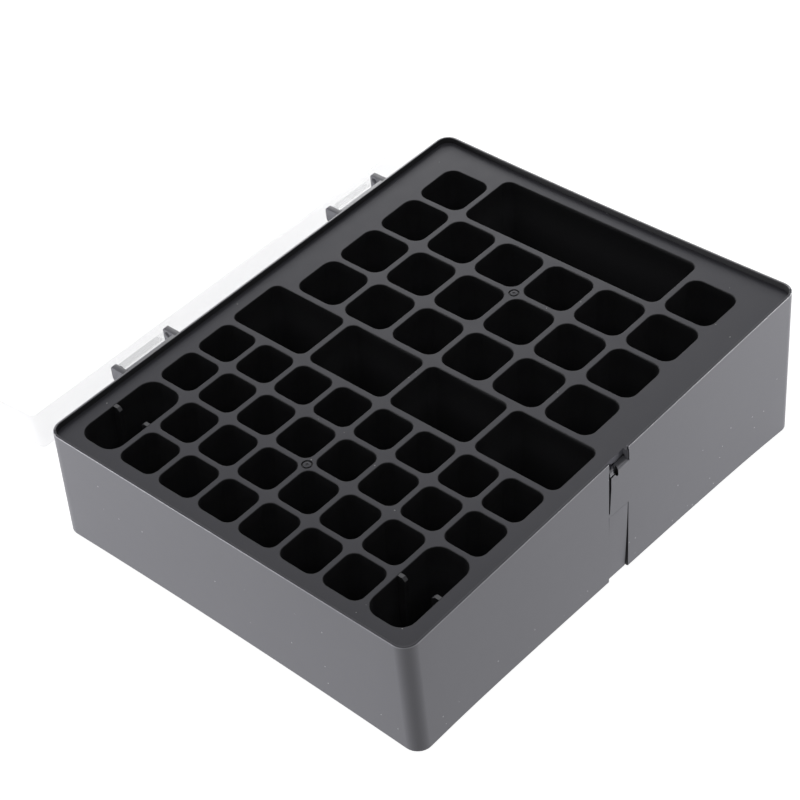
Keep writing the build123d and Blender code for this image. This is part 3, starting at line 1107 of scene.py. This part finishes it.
@dataclass
class Skirt:
    """The outer wall of the case, with its rim lip, notch, slits and hinge strips."""

    case: CaseSizes
    notch_centre: float = 0.25
    notch_width: float = 8.5
    notch_depth: float = 4.4
    notch_inner: float = 62.1
    slit: float = 0.4
    tongue_height: float = 23.0
    tongue_rise: float = 0.35
    tongue_gap: float = 0.05
    tongue_edge: float = 0.12
    tongue_front_gap: float = 0.1
    tongue_back_gap: float = 0.2
    tongue_rows: int = 16
    tongue_taper: float = 0.1
    tongue_curve: float = 1.4
    lean: float = 1.7
    step_place: float = -1.9
    step_depth: float = 3.3
    step_roll: float = 0.8
    floor_roll: float = 1.1
    slot_outline: tuple[Flat, ...] = (
        (62.75, 0.35),
        (62.95, -0.9),
        (63.5, -1.95),
        (64.1, -2.4),
        (66.0, -2.4),
        (66.0, -0.2),
        (64.3, -0.45),
        (63.6, 0.0),
    )
    slot_depth: float = 3.0
    seam_level: float = -5.05
    seam_gap: float = 0.6
    slit_top: float = 0.5
    slit_wide: float = 1.0
    slit_wide_drop: float = 5.2
    slit_low_drop: float = 9.0
    slit_stop: float = 1.2
    rim_round: float = 0.28
    foot_round: float = 0.3
    ledge: float = 2.0
    slot_reach: float = 1.0
    slot_break: float = 63.8
    slot_break_level: float = -4.6
    slot_break_slope: float = 1.06
    slot_break_start: float = 2.0
    seam_depth: float = 0.6
    seam_start: float = 0.05
    seam_end: float = -1.2
    slit_over: float = 1.0
    slit_step: float = 0.4
    pad_outer: float = 62.72
    pad_low: float = -6.0
    pad_sink: float = 0.01
    beyond: float = 5.0
    far_beyond: float = 8.0
    under: float = 1.0
    overlap: float = 0.01
    end_gap: EndGap = EndGap(0.28, 0.02, 1.6, -4.85, -1.0)
    end_gap_foot: EndGap = EndGap(0.75, 0.1, 1.6, -4.95, -4.65)
    lip_pocket: EndGap = EndGap(0.68, 0.17, 1.0, -1.65, -0.25)
    strip_places: Flat = (-44.0, 44.0)
    strip_out: float = 0.7
    strip_in: float = 0.5
    strip_half: float = 9.1
    strip_depth: float = 5.0
    strip_top: float = 0.02
    strip_round: float = 0.15
    notch_reach: float = 7.0
    notch_skin: float = 62.0
    notch_top: float = -0.2
    lit_level: float = -5.8
    catch_level: float = -4.5
    rim_inner: float = -2.2
    rim_top: float = -0.2
    rim_edge: float = -0.35

    @property
    def notch_front(self) -> float:
        """Front side of the notch."""
        return self.notch_centre - self.notch_width / 2

    @property
    def notch_back(self) -> float:
        """Back side of the notch."""
        return self.notch_centre + self.notch_width / 2

    def build(self, finishes: "Finishes") -> bpy.types.Object:
        """Make the wall and let it stand for its plain solid.

        The cuts keep this order, because the exact boolean empties the wall in another one.

        Args:
            finishes: the finishes of the object.

        Returns:
            The wall.
        """
        case = self.case
        skin = Skin()
        ledge = case.rim_height + self.ledge
        rounding = self.rim_round
        profile = [(case.lip, ledge)]
        profile += arc((case.lip - rounding, rounding), rounding, 0.0, -90.0, 3)
        profile += arc((rounding, rounding), rounding, -90.0, -180.0, 3)
        rings = [skin.ring(case.section(inset, drop)) for inset, drop in profile]
        foot = self.foot_round
        rounds = arc((foot, foot), foot, 180.0, 270.0, 2)
        rounds += arc((case.wall - foot, foot), foot, 270.0, 360.0, 2)
        rings += [skin.ring(case.level_section(inset, z)) for inset, z in rounds]
        rings.append(skin.ring(case.section(case.wall, ledge)))
        skin.tube(rings, closed=True)
        skin.move(case.settle)
        slots = (finishes.shell, finishes.shade, finishes.tray, finishes.edge)
        piece = add_piece(skin.mesh("case_skirt"), slots)
        cut(piece, self.notch_cutters())
        cut(piece, [*self.end_cutters(), self.front_slit(), self.tongue_cutter()])
        cut(piece, [self.slot_cutter(), self.seam_cutter()])
        piece.data = join_meshes("case_skirt", [piece.data, *self.strips(), *self.pads()])
        piece.data.materials.clear()
        for material in slots:
            piece.data.materials.append(material)
        self.dress(piece.data)
        shade(piece.data, SHARP_ANGLE)
        soften(piece)
        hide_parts("case_shell")
        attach(piece, "case")
        return piece

    def dress(self, mesh: bpy.types.Mesh) -> None:
        """Give the faces of the rim and of the cuts their finishes, among them painted shade and painted
        light.

        Args:
            mesh: the finished wall, with the shell, shade, tray and edge finishes in its slots.
        """
        case = self.case
        place = case.plane_matrix().inverted()
        turn = place.to_3x3()
        end = case.half_length / math.cos(case.slope)
        for face in mesh.polygons:
            spot = place @ (face.center / MM)
            facing = turn @ face.normal
            across = max(abs(spot.x) - case.half_width + case.corner, 0.0)
            along = max(abs(spot.y) - end + case.corner, 0.0)
            reach = max(math.hypot(across, along), 0.001)
            out = Vector((math.copysign(across, spot.x), math.copysign(along, spot.y), 0.0)) / reach
            in_notch = abs(spot.y) < self.notch_reach and spot.x > self.notch_skin
            if in_notch and spot.z < self.notch_top and facing.x < 0.8:
                face.material_index = self.notch_slot(spot, facing)
            else:
                slot = self.rim_slot(spot.z, facing, out)
                face.material_index = face.material_index if slot is None else slot

    def notch_slot(self, spot: Vector, facing: Vector) -> Slot:
        """Choose the finish of a face in the notch or the cuts below it: painted light on the flat floor
        and the rear side, and painted shade in the hollows.

        Args:
            spot: its place, in the rim plane.
            facing: where it faces.

        Returns:
            Its slot.
        """
        lit = spot.z > self.lit_level
        floor = facing.z > 0.05 and lit and not (spot.z < self.catch_level and facing.x < 0.1)
        side = facing.y < -FACE_ON and abs(spot.y - self.notch_back) < 0.1 and lit
        # painted light on the flat floor and the rear side; painted shade in the hollows below
        if side or (floor and facing.z > FACE_ON):
            return Slot.EDGE
        return Slot.BODY if floor else Slot.PAINTED_SHADE

    def rim_slot(self, level: float, facing: Vector, out: Vector) -> Slot | None:
        """Choose the finish of a face of the rim: painted shade on its inside and on the near tops, painted
        light on the far tops, and a painted highlight on the near outer edge.

        Args:
            level: its place above the rim plane.
            facing: where it faces.
            out: the way out of the case there.

        Returns:
            Its slot, or None for the finish that it has.
        """
        outward = facing.dot(out)
        near = out.x - out.y > 0.0
        # painted shade on the inside of the rim
        if outward < -0.5 and level > self.rim_inner:
            return Slot.PAINTED_SHADE
        # painted shade on the near tops, painted light on the far tops
        if facing.z > 0.75 and level > self.rim_top:
            return Slot.TRAY if near else Slot.EDGE
        # painted highlight on the near outer edge
        if outward > 0.2 and facing.z > 0.15 and level > self.rim_edge and near:
            return Slot.EDGE
        return None

    def notch_cutters(self) -> list[bpy.types.Mesh]:
        """Make the space of the notch, in two steps, each with a floor that rolls over into the wall.

        Returns:
            One cutter for each step, which only touch where they meet.
        """
        steps = (
            (self.notch_front, self.step_place, self.step_depth, self.step_roll),
            (self.step_place, self.notch_back, self.notch_depth, self.floor_roll),
        )
        cutters = []
        for front, back, depth, roll in steps:
            out = self.case.half_width + self.beyond
            edge = self.case.half_width + (depth + roll) * self.case.latch_flare
            section = [(out, self.beyond), (self.notch_inner, self.beyond), (self.notch_inner, -depth)]
            section += arc((edge - roll, -depth - roll), roll, 90.0, 0.0, 6)
            section.append((out, -depth - roll))
            cutters.append(prism("notch", section, front, back, self.case.plane_matrix()))
        return cutters

    def pads(self) -> list[bpy.types.Mesh]:
        """Make the inner part of the notch's floor, behind the wall.

        Returns:
            One pad for each step.
        """
        steps = (
            (self.notch_front + self.slit, self.step_place, self.step_depth),
            (self.step_place, self.notch_back, self.notch_depth),
        )
        pads = []
        for front, back, depth in steps:
            low = (self.notch_inner, front, self.pad_low)
            high = (self.pad_outer, back, -depth - self.pad_sink)
            pads.append(block_mesh("pad", low, high, place=self.case.plane_matrix()))
        return pads

    def slot_cutter(self) -> bpy.types.Mesh:
        """Make the space of the slot in the notch's floor, which breaks through the wall's outer face.

        Returns:
            The cutter.
        """
        skin = Skin()
        top = skin.ring([(x, y, self.slot_reach - self.notch_depth) for x, y in self.slot_outline])
        low = []
        for x, y in self.slot_outline:
            level = -self.notch_depth - self.slot_depth
            if x > self.slot_break:
                level = self.slot_break_level - self.slot_break_slope * (y + self.slot_break_start)
            low.append((x, y, level))
        bottom = skin.ring(low)
        skin.bridge(top, bottom)
        skin.cap(top)
        skin.fan(bottom)
        skin.place(self.case.plane_matrix())
        return skin.mesh("slot")

    def seam_cutter(self) -> bpy.types.Mesh:
        """Make the space of the fine seam from the front slit to the slot, just under the notch's floor.

        Returns:
            The cutter.
        """
        half, gap = self.case.half_width, self.seam_gap / 2
        low = (half - self.seam_depth, self.notch_front - self.seam_start, self.seam_level - gap)
        high = (half + self.beyond, self.seam_end, self.seam_level + gap)
        return block_mesh("seam", low, high, place=self.case.plane_matrix())

    def end_cutters(self) -> list[bpy.types.Mesh]:
        """Make the spaces of the fine gap with its hooked foot, and of the pocket in the lip's end.

        Returns:
            The cutters.
        """
        half, back = self.case.half_width, self.notch_back
        cutters = []
        for gap in (self.end_gap, self.end_gap_foot, self.lip_pocket):
            low = (half - gap.inner, back - self.overlap, gap.low)
            high = (half - gap.outer, back + gap.length, gap.high)
            cutters.append(block_mesh("end_cut", low, high, place=self.case.plane_matrix()))
        return cutters

    def front_slit(self) -> bpy.types.Mesh:
        """Make the slit from the notch down to the root of the tongue, widest just under the seam.

        Returns:
            The cutter.
        """
        case = self.case
        front = self.notch_front * math.cos(case.slope)
        rim = case.rim(front)
        root = self.tongue_height + self.slit_stop
        outline = (
            (front, root),
            (front, rim - self.step_depth + self.slit_over),
            (front + self.slit_top, rim - self.step_depth + self.slit_over),
            (front + self.slit_top, rim - self.slit_wide_drop + self.slit_step),
            (front + self.slit_wide, rim - self.slit_wide_drop),
            (front + self.slit_wide, rim - self.slit_low_drop),
            (front + self.slit, root),
        )
        turn = Matrix.Rotation(math.pi / 2, 4, "Z")
        outside = -case.half_width - self.far_beyond
        return prism("front_slit", outline, outside, self.beyond - case.half_width, turn)

    def tongue_cutter(self) -> bpy.types.Mesh:
        """Make the space of the tongue and its slits.

        Returns:
            The cutter.
        """
        case = self.case
        front, back = (end * math.cos(case.slope) for end in (self.notch_front, self.notch_back))
        low = (case.half_width - self.beyond, front, -self.under)
        high = (case.half_width + self.far_beyond, back, self.tongue_height)
        return block_mesh("tongue_space", low, high)

    def strips(self) -> list[bpy.types.Mesh]:
        """Make the thick strips of wall between the ears of each pair.

        Returns:
            The two strips.
        """
        half = self.case.half_width
        strips = []
        for centre in self.strip_places:
            low = (-half - self.strip_out, centre - self.strip_half, -self.strip_depth)
            high = (-half + self.strip_in, centre + self.strip_half, -self.strip_top)
            strips.append(block_mesh("strip", low, high, self.strip_round, self.case.plane_matrix()))
        return strips

    def tongue(self, finishes: "Finishes") -> bpy.types.Object:
        """Make the spring tongue, which bends in towards its foot.

        Args:
            finishes: the finishes of the object.

        Returns:
            The tongue.
        """
        case = self.case
        front = self.notch_front * math.cos(case.slope) + self.tongue_front_gap
        length = self.tongue_height - self.tongue_rise
        bend = math.tan(math.radians(self.lean)) * length
        skin = Skin()
        rings = []
        for row in range(self.tongue_rows + 1):
            down = row / self.tongue_rows
            z = self.tongue_height - self.tongue_gap - (length - self.tongue_gap) * down
            gap = self.tongue_back_gap + (self.slit - self.tongue_back_gap + self.tongue_taper) * down
            back = self.notch_back * math.cos(case.slope) - gap
            loop = rounded_rectangle(-case.wall, 0.0, front, back, self.tongue_edge, 2, 2)
            ring = []
            for x, y in loop:
                flat = Vector((case.half_width + x + (case.rim(y) - z) * case.latch_flare, y, z))
                ring.append(case.settle(flat) - Vector((bend * down**self.tongue_curve, 0.0, 0.0)))
            rings.append(skin.ring(ring))
        skin.solid(rings)
        piece = add_piece(skin.mesh("spring_tongue"), (finishes.shell,))
        soften(piece)
        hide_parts("latch_tongue")
        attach(piece, "tongue")
        return piece


@dataclass
class HingeSide:
    """The ears on the left wall, each with a blind hole for the lid's stub."""

    case: CaseSizes
    offset: float = 44.0
    gap: float = 18.2
    thickness: float = 1.9
    reach: float = 5.0
    height: float = 6.2
    axis_reach: float = 3.4
    axis_drop: float = 1.7
    hole: float = 0.95
    hole_depth: float = 1.35

    root: float = 0.5
    top: float = -0.05
    tip_reach: float = 0.55
    tip_round: float = 0.5
    chin_round: float = 1.6
    chin_rise: float = 2.4
    edge: float = 0.12

    def profile(self) -> list[Flat]:
        """Draw the outline of an ear seen along the hinge line, with a rounded and sloping outer end.

        Returns:
            Its points.
        """
        base = -self.case.half_width + self.root
        out = -self.case.half_width - self.reach
        points = [(base, self.top), (out + self.tip_round, self.top)]
        points += arc((out + self.tip_reach, self.top - self.tip_round), self.tip_round, 100.0, 180.0, 4)
        chin = (out + self.chin_round, -self.height + self.chin_rise)
        points += arc(chin, self.chin_round, 180.0, 250.0, 6)
        return [*points, (base, -self.height)]

    def build(self, finishes: "Finishes") -> bpy.types.Object:
        """Make the four ears and let them stand for their plain solids.

        Args:
            finishes: the finishes of the object.

        Returns:
            The ears.
        """
        meshes = []
        for side in (-1, 1):
            for end in (-1, 1):
                inner = side * self.offset + end * self.gap / 2
                meshes.append(self.ear(inner, inner + end * self.thickness, end))
        piece = add_piece(join_meshes("hinge_ear_set", meshes), (finishes.shell,), SOFT_ANGLE)
        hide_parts("hinge_ears")
        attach(piece, "case")
        return piece

    def ear(self, inner: float, outer: float, end: int) -> bpy.types.Mesh:
        """Make one ear, drilled from its inner side.

        Args:
            inner: the place of its inner side along the hinge line.
            outer: the place of its outer side.
            end: 1 when the outer side lies further back, else -1.

        Returns:
            The mesh.
        """
        skin = Skin()
        loop = self.profile()
        edge = self.edge
        shrunk = shrink(loop, edge)
        levels = ((inner, shrunk), (inner + end * edge, loop), (outer - end * edge, loop), (outer, shrunk))
        rings = [skin.ring([(x, y, z) for x, z in outline]) for y, outline in levels]
        skin.tube(rings)
        skin.cap(rings[-1])
        centre = (-self.case.half_width - self.axis_reach, -self.axis_drop)
        hole = arc(centre, self.hole, 0.0, 360.0, 20)[:-1]
        mouth = skin.ring([(x, inner, z) for x, z in hole])
        bottom = skin.ring([(x, inner + end * self.hole_depth, z) for x, z in hole])
        skin.bridge(mouth, bottom)
        skin.cap(bottom)
        skin.fill(rings[0], [mouth], axes=(0, 2))
        skin.place(self.case.plane_matrix())
        return skin.mesh("ear")


def shrink(loop: list[Flat], inset: float) -> list[Flat]:
    """Draw a loop in towards its middle.

    Args:
        loop: the loop.
        inset: about how far.

    Returns:
        The smaller loop.
    """
    x_mid = sum(x for x, _ in loop) / len(loop)
    y_mid = sum(y for _, y in loop) / len(loop)
    drawn = []
    for x, y in loop:
        away = math.hypot(x - x_mid, y - y_mid)
        keep = (away - inset) / away
        drawn.append((x_mid + (x - x_mid) * keep, y_mid + (y - y_mid) * keep))
    return drawn


@dataclass
class SlotRibs:
    """The pairs of ribs that pinch the corner slots, each with a chamfered tip."""

    case: CaseSizes
    tray: CellTray
    reach: float = 2.4
    thickness: float = 1.2
    chamfer: float = 0.9
    sink: float = 0.02

    def build(self, finishes: "Finishes") -> bpy.types.Object:
        """Make the four ribs and let them stand for their plain solids.

        Args:
            finishes: the finishes of the object.

        Returns:
            The ribs.
        """
        meshes = []
        for well in self.tray.wells():
            if well.cell is not Cell.SLOT:
                continue
            width, depth, _ = well.cell.value
            middle = well.y + depth / 2
            meshes.append(self.rib(well.x, 1, middle))
            meshes.append(self.rib(well.x + width, -1, middle))
        slots = (finishes.ribs, finishes.wells)
        piece = add_piece(join_meshes("slot_rib_set", meshes), slots, RIB_ANGLE)
        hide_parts("slot_ribs")
        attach(piece, "case")
        return piece

    def rib(self, root: float, way: int, middle: float) -> bpy.types.Mesh:
        """Make one rib that stands out from a side wall of a slot.

        Args:
            root: the place of the side wall.
            way: 1 when the rib points right, else -1.
            middle: the place of the rib along the case.

        Returns:
            The mesh.
        """
        floor = self.tray.floor
        top = self.case.rim(middle) - (self.case.rim_height + self.sink)
        tip = root + way * self.reach
        shoulder = (tip - way * self.chamfer, top)
        outline = [(root, floor), (tip, floor), (tip, top - self.chamfer), shoulder, (root, top)]
        half = self.thickness / 2
        skin = Skin()
        rings = []
        for side in (-half, half):
            rise = side * math.tan(self.case.slope)
            ring = [(x, middle + side, z + (rise if z > floor else 0.0)) for x, z in outline]
            rings.append(skin.ring(ring))
        skin.bridge(rings[0], rings[1])
        # the top and chamfer take the lighter rib finish, a painted highlight; the other faces take the
        # well finish, painted shade
        skin.tags[:] = [Slot.PAINTED_SHADE, Slot.PAINTED_SHADE, Slot.BODY, Slot.BODY, Slot.PAINTED_SHADE]
        skin.cap(rings[0], tag=Slot.PAINTED_SHADE)
        skin.cap(rings[1], tag=Slot.PAINTED_SHADE)
        return skin.mesh("rib")


# ---------------------------------------------------------------- the lid


@dataclass
class ClearLid:
    """The clear lid: one thin moulding with two hinge knuckles and a hook, open to the left."""

    case: CaseSizes
    hinge: HingeSide
    height: float = 13.5
    wall: float = 1.5
    panel: float = 1.5
    clearance: float = 0.7
    seat_gap: float = 0.1
    edge_radius: float = 1.4
    inner_radius: float = 0.9
    taper: float = math.tan(math.radians(1.2))
    open_angle: float = 187.0
    knuckle: float = 1.5
    stub: float = 0.9
    end_gap: float = 0.4
    arm: float = 1.8
    arm_gap: float = 0.3
    least_corner: float = 0.5
    lip: float = 0.25
    knuckle_reach: float = 0.4
    knuckle_round: float = 1.2
    knuckle_edge: float = 0.2
    wall_overlap: float = 0.02
    stub_start: float = 0.3
    stub_length: float = 1.2
    stub_edge: float = 0.2
    hook_sink: float = 0.1
    hook_out: float = 1.0
    hook_gap: float = 0.6
    hook_high: float = 3.5
    hook_round: float = 0.25

    @property
    def half_width(self) -> float:
        """Half the lid's width at its edge."""
        return self.case.half_width - self.case.lip - self.clearance

    @property
    def half_length(self) -> float:
        """Half the lid's length at its edge, along the slope."""
        return self.case.half_length / math.cos(self.case.slope) - self.case.lip - self.clearance

    @property
    def edge_level(self) -> float:
        """Place of the shut lid's edge above the rim plane."""
        return self.seat_gap - self.case.rim_height

    def open_matrix(self) -> Matrix:
        """Set the lid open.

        Returns:
            The matrix that takes places on the shut lid, in the rim plane, to the open lid.
        """
        pivot = Vector((-self.case.half_width - self.hinge.axis_reach, 0.0, -self.hinge.axis_drop))
        turn = Matrix.Rotation(math.radians(-self.open_angle), 4, "Y")
        swing = Matrix.Translation(pivot) @ turn @ Matrix.Translation(-pivot)
        return self.case.plane_matrix() @ swing

    def ring(self, skin: Skin, inset: float, level: float) -> list[int]:
        """Add one loop round the lid, bowed in at the back like the case.

        Args:
            skin: the skin of the lid.
            inset: how far the loop is drawn in.
            level: its place above the lid's edge.

        Returns:
            The numbers of its points.
        """
        case = self.case
        lean = level * self.taper
        half = self.half_width - inset - lean
        end = self.half_length - inset - lean
        corner = max(self.least_corner, case.corner - case.lip - self.clearance - inset)
        bowed = []
        for x, y in rounded_rectangle(-half, half, -end, end, corner, 6, 12):
            near = share_of(y - self.half_length + case.back_zone, case.back_zone)
            bowed.append((x, y - case.back_bow * case.arch(x) * near, self.edge_level + level))
        return skin.ring(bowed)

    def shell(self, finishes: "Finishes") -> bpy.types.Object:
        """Make the panel and the walls as one closed skin.

        Args:
            finishes: the finishes of the object.

        Returns:
            The lid's shell.
        """
        skin = Skin()
        lip = self.lip
        profile = arc((lip, lip), lip, 270.0, 180.0, 2)
        profile += arc((self.edge_radius, self.height - self.edge_radius), self.edge_radius, 180.0, 90.0, 5)
        outer = [self.ring(skin, inset, level) for inset, level in profile]
        roof = self.height - self.panel
        radius = self.inner_radius
        hollow = arc((self.wall + radius, roof - radius), radius, 90.0, 180.0, 4)
        hollow += arc((self.wall - lip, lip), lip, 0.0, -90.0, 2)
        inner = [self.ring(skin, inset, level) for inset, level in hollow]
        skin.cap(outer[-1])
        skin.cap(inner[0])
        skin.tube(outer[::-1] + inner[::-1])
        skin.place(self.open_matrix())
        piece = add_piece(skin.mesh("clear_lid_shell"), (finishes.lid,), SOFT_ANGLE)
        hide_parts("lid_panel", "lid_skirt")
        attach(piece, "lid")
        return piece

    def knuckles(self, finishes: "Finishes") -> list[bpy.types.Object]:
        """Make both hinge knuckles, each a barrel on an arm that passes over the rim.

        Args:
            finishes: the finishes of the object.

        Returns:
            The knuckles, the front one first.
        """
        pieces = []
        for side, node in ((-1, "lid_knuckle_front"), (1, "lid_knuckle_rear")):
            mesh = self.knuckle_mesh(side * self.hinge.offset)
            mesh.name = node + "_clear"
            piece = add_piece(mesh, (finishes.knuckle,), SOFT_ANGLE)
            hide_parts(node)
            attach(piece, "lid")
            pieces.append(piece)
        return pieces

    def knuckle_mesh(self, middle: float) -> bpy.types.Mesh:
        """Draw the outline of an arm and its barrel along the hinge line, with stubs at its ends.

        Args:
            middle: the place of the knuckle's middle along the hinge line.

        Returns:
            The mesh.
        """
        pivot_x = -self.case.half_width - self.hinge.axis_reach
        pivot_z = -self.hinge.axis_drop
        top = self.arm_gap + self.arm
        wall_x = -self.half_width + self.wall_overlap
        turned = self.knuckle_round
        outline = [(wall_x, self.arm_gap), (pivot_x + self.knuckle + self.knuckle_reach, self.arm_gap)]
        outline += arc((pivot_x, pivot_z), self.knuckle, 0.0, -180.0, 12)
        outline += arc((pivot_x - self.knuckle + turned, top - turned), turned, 180.0, 90.0, 4)
        outline += [(wall_x, top)]
        half = self.hinge.gap / 2 - self.end_gap
        edge = self.knuckle_edge
        small = shrink(outline, edge)
        ends = ((-half, small), (-half + edge, outline), (half - edge, outline), (half, small))
        skin = Skin()
        skin.solid([skin.ring([(x, middle + y, z) for x, z in loop]) for y, loop in ends])
        reach = self.hinge.gap / 2 + self.stub_length
        tip = self.stub_edge
        levels = ((half - self.stub_start, self.stub), (reach - tip, self.stub), (reach, self.stub - tip))
        for way in (-1, 1):
            loops = []
            for y, radius in levels:
                circle = arc((pivot_x, pivot_z), radius, 0.0, 360.0, 16)[:-1]
                loops.append(skin.ring([(x, middle + way * y, z) for x, z in circle]))
            skin.solid(loops)
        skin.place(self.open_matrix())
        return skin.mesh("knuckle")

    def hook(self, finishes: "Finishes", skirt: Skirt) -> bpy.types.Object:
        """Make the small tab on the lid's free wall.

        Args:
            finishes: the finishes of the object.
            skirt: the outer wall, into whose notch the tab goes.

        Returns:
            The tab.
        """
        gap = self.hook_gap
        low = (self.half_width - self.hook_sink, skirt.notch_front + gap, gap - skirt.step_depth)
        high = (self.half_width + self.hook_out, skirt.notch_back - gap, self.hook_high + self.edge_level)
        mesh = block_mesh("lid_hook_clear", low, high, self.hook_round, self.open_matrix())
        piece = add_piece(mesh, (finishes.knuckle,), SOFT_ANGLE)
        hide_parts("lid_hook")
        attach(piece, "lid")
        return piece


# ---------------------------------------------------------------- finishes and studio


@dataclass
class Finishes:
    """Every finish of the object, made once."""

    case: CaseSizes
    shell: bpy.types.Material = field(init=False)
    tray: bpy.types.Material = field(init=False)
    wells: bpy.types.Material = field(init=False)
    ribs: bpy.types.Material = field(init=False)
    shade: bpy.types.Material = field(init=False)
    edge: bpy.types.Material = field(init=False)
    lid: bpy.types.Material = field(init=False)
    knuckle: bpy.types.Material = field(init=False)

    def __post_init__(self) -> None:
        """Make the materials."""
        # the wall's plastic is set lighter and the tray's darker, though both are one moulding: painted
        # light on the walls and painted shade on the tray's upward faces
        wall = MouldedPlastic("satin_charcoal_wall", 0.125, blue=0.12, gloss=0.4, dust=0.7)
        face = MouldedPlastic("charcoal_tray_face_painted_shade", 0.09, blue=0.16, roughness=0.55, gloss=0.17, dust=0.8)
        # a darker copy of the tray's plastic: painted shade in the wells
        painted_deep_shade = MouldedPlastic("charcoal_well_wall_painted_shade", 0.06, gloss=0.12, depth_shade=0.4, painted_floor_light=0.08)
        # a lighter copy of the tray's plastic: painted highlight on the rib tips
        ribs = MouldedPlastic("charcoal_rib_tip_painted_highlight", 0.11, gloss=0.25)
        # a darker copy: painted shade on the inside of the rim and in the notch's hollows
        shade = MouldedPlastic("charcoal_rim_inside_painted_shade", 0.035, gloss=0.2)
        # a lighter, glossier copy: a painted highlight on the near rim edge, and painted light on the far
        # rim tops and in the notch
        edge = MouldedPlastic("rim_painted_highlight", 0.24, blue=0.1, roughness=0.35, gloss=0.6)
        self.shell, self.tray, self.wells = wall.make(self.case), face.make(self.case), painted_deep_shade.make(self.case)
        self.ribs, self.shade, self.edge = ribs.make(self.case), shade.make(self.case), edge.make(self.case)
        self.lid = ClearPlastic("clear_lid_plastic", 0.05, 0.16).make()
        self.knuckle = ClearPlastic("clear_knuckle_plastic", 0.04, 0.12).make()


@dataclass(frozen=True)
class Lamp:
    """A soft rectangular lamp that points at the case."""

    name: str
    place: Point
    size: Flat
    power: float
    aim: Point = (0.0, 0.0, 0.03)

    def hang(self) -> None:
        """Put the lamp into the scene."""
        data = bpy.data.lights.new(self.name, "AREA")
        data.shape = "RECTANGLE"
        data.size, data.size_y = self.size
        data.energy = self.power
        lamp = bpy.data.objects.new(self.name, data)
        lamp.location = self.place
        way = Vector(self.aim) - Vector(self.place)
        lamp.rotation_euler = way.to_track_quat("-Z", "Y").to_euler()
        bpy.context.scene.collection.objects.link(lamp)


@dataclass(frozen=True)
class Studio:
    """A white table, soft white light and the camera at the photograph's viewpoint."""

    camera_place: Point = (0.29351, -0.33005, 0.39376)
    camera_turn: Point = (50.272, 1.7997, 41.2363)
    lens: float = 93.263
    sensor: float = 36.0
    near_clip: float = 0.01
    world_level: float = 0.16
    table_half: float = 3.0
    table_drop: float = 0.0002
    lamps: tuple[Lamp, ...] = (
        Lamp("back_left_softbox", (-0.55, 0.60, 0.50), (0.45, 0.45), 4.1),
        Lamp("front_left_strip", (-0.45, -0.45, 0.02), (0.40, 0.03), 4.1),
        Lamp("back_right_strip", (0.35, 0.45, 0.02), (0.40, 0.03), 2.95),
    )

    def build(self) -> None:
        """Set up the table, the world, the lamps and the camera."""
        scene = bpy.context.scene
        scene.view_settings.view_transform = "Standard"
        self._table()
        self._world(scene)
        for lamp in self.lamps:
            lamp.hang()
        data = bpy.data.cameras.new("photo_camera")
        data.lens = self.lens
        data.sensor_width = self.sensor
        data.sensor_fit = "HORIZONTAL"
        data.clip_start = self.near_clip
        camera = bpy.data.objects.new("photo_camera", data)
        camera.location = self.camera_place
        camera.rotation_euler = Euler([math.radians(angle) for angle in self.camera_turn], "XYZ")
        scene.collection.objects.link(camera)
        scene.camera = camera

    def _table(self) -> None:
        """The white table top."""
        work = bmesh.new()
        bmesh.ops.create_grid(work, x_segments=8, y_segments=8, size=self.table_half)
        mesh = bpy.data.meshes.new("table_top")
        work.to_mesh(mesh)
        work.free()
        table = bpy.data.objects.new("table_top", mesh)
        table.location.z = -self.table_drop
        bpy.context.scene.collection.objects.link(table)
        mesh.materials.append(StudioFloor().make())

    def _world(self, scene: bpy.types.Scene) -> None:
        """Make a white surround that the camera sees at full white.

        Args:
            scene: the scene.
        """
        world = bpy.data.worlds.new("white_surround")
        world.use_nodes = True
        scene.world = world
        board = Board(world.node_tree)
        strength = board.shown() * (1.0 - self.world_level) + self.world_level
        background = board.add("ShaderNodeBackground", inputs={"Color": grey(1.0), "Strength": strength})
        board.finish(background, "ShaderNodeOutputWorld")


def main() -> None:
    """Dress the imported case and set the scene."""
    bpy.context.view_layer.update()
    case = CaseSizes()
    finishes = Finishes(case)
    tray = CellTray(case)
    skirt = Skirt(case)
    hinge = HingeSide(case)
    lid = ClearLid(case, hinge)
    pieces = [
        tray.build(finishes, skirt),
        skirt.build(finishes),
        skirt.tongue(finishes),
        hinge.build(finishes),
        SlotRibs(case, tray).build(finishes),
        lid.shell(finishes),
        *lid.knuckles(finishes),
        lid.hook(finishes, skirt),
    ]
    for piece in pieces:
        LOG.info("%s: %d faces", piece.name, len(piece.data.polygons))
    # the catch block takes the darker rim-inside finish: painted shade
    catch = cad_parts["catch_block"]
    catch.data.materials.clear()
    catch.data.materials.append(finishes.shade)
    Studio().build()


if __name__ == "__main__":
    main()
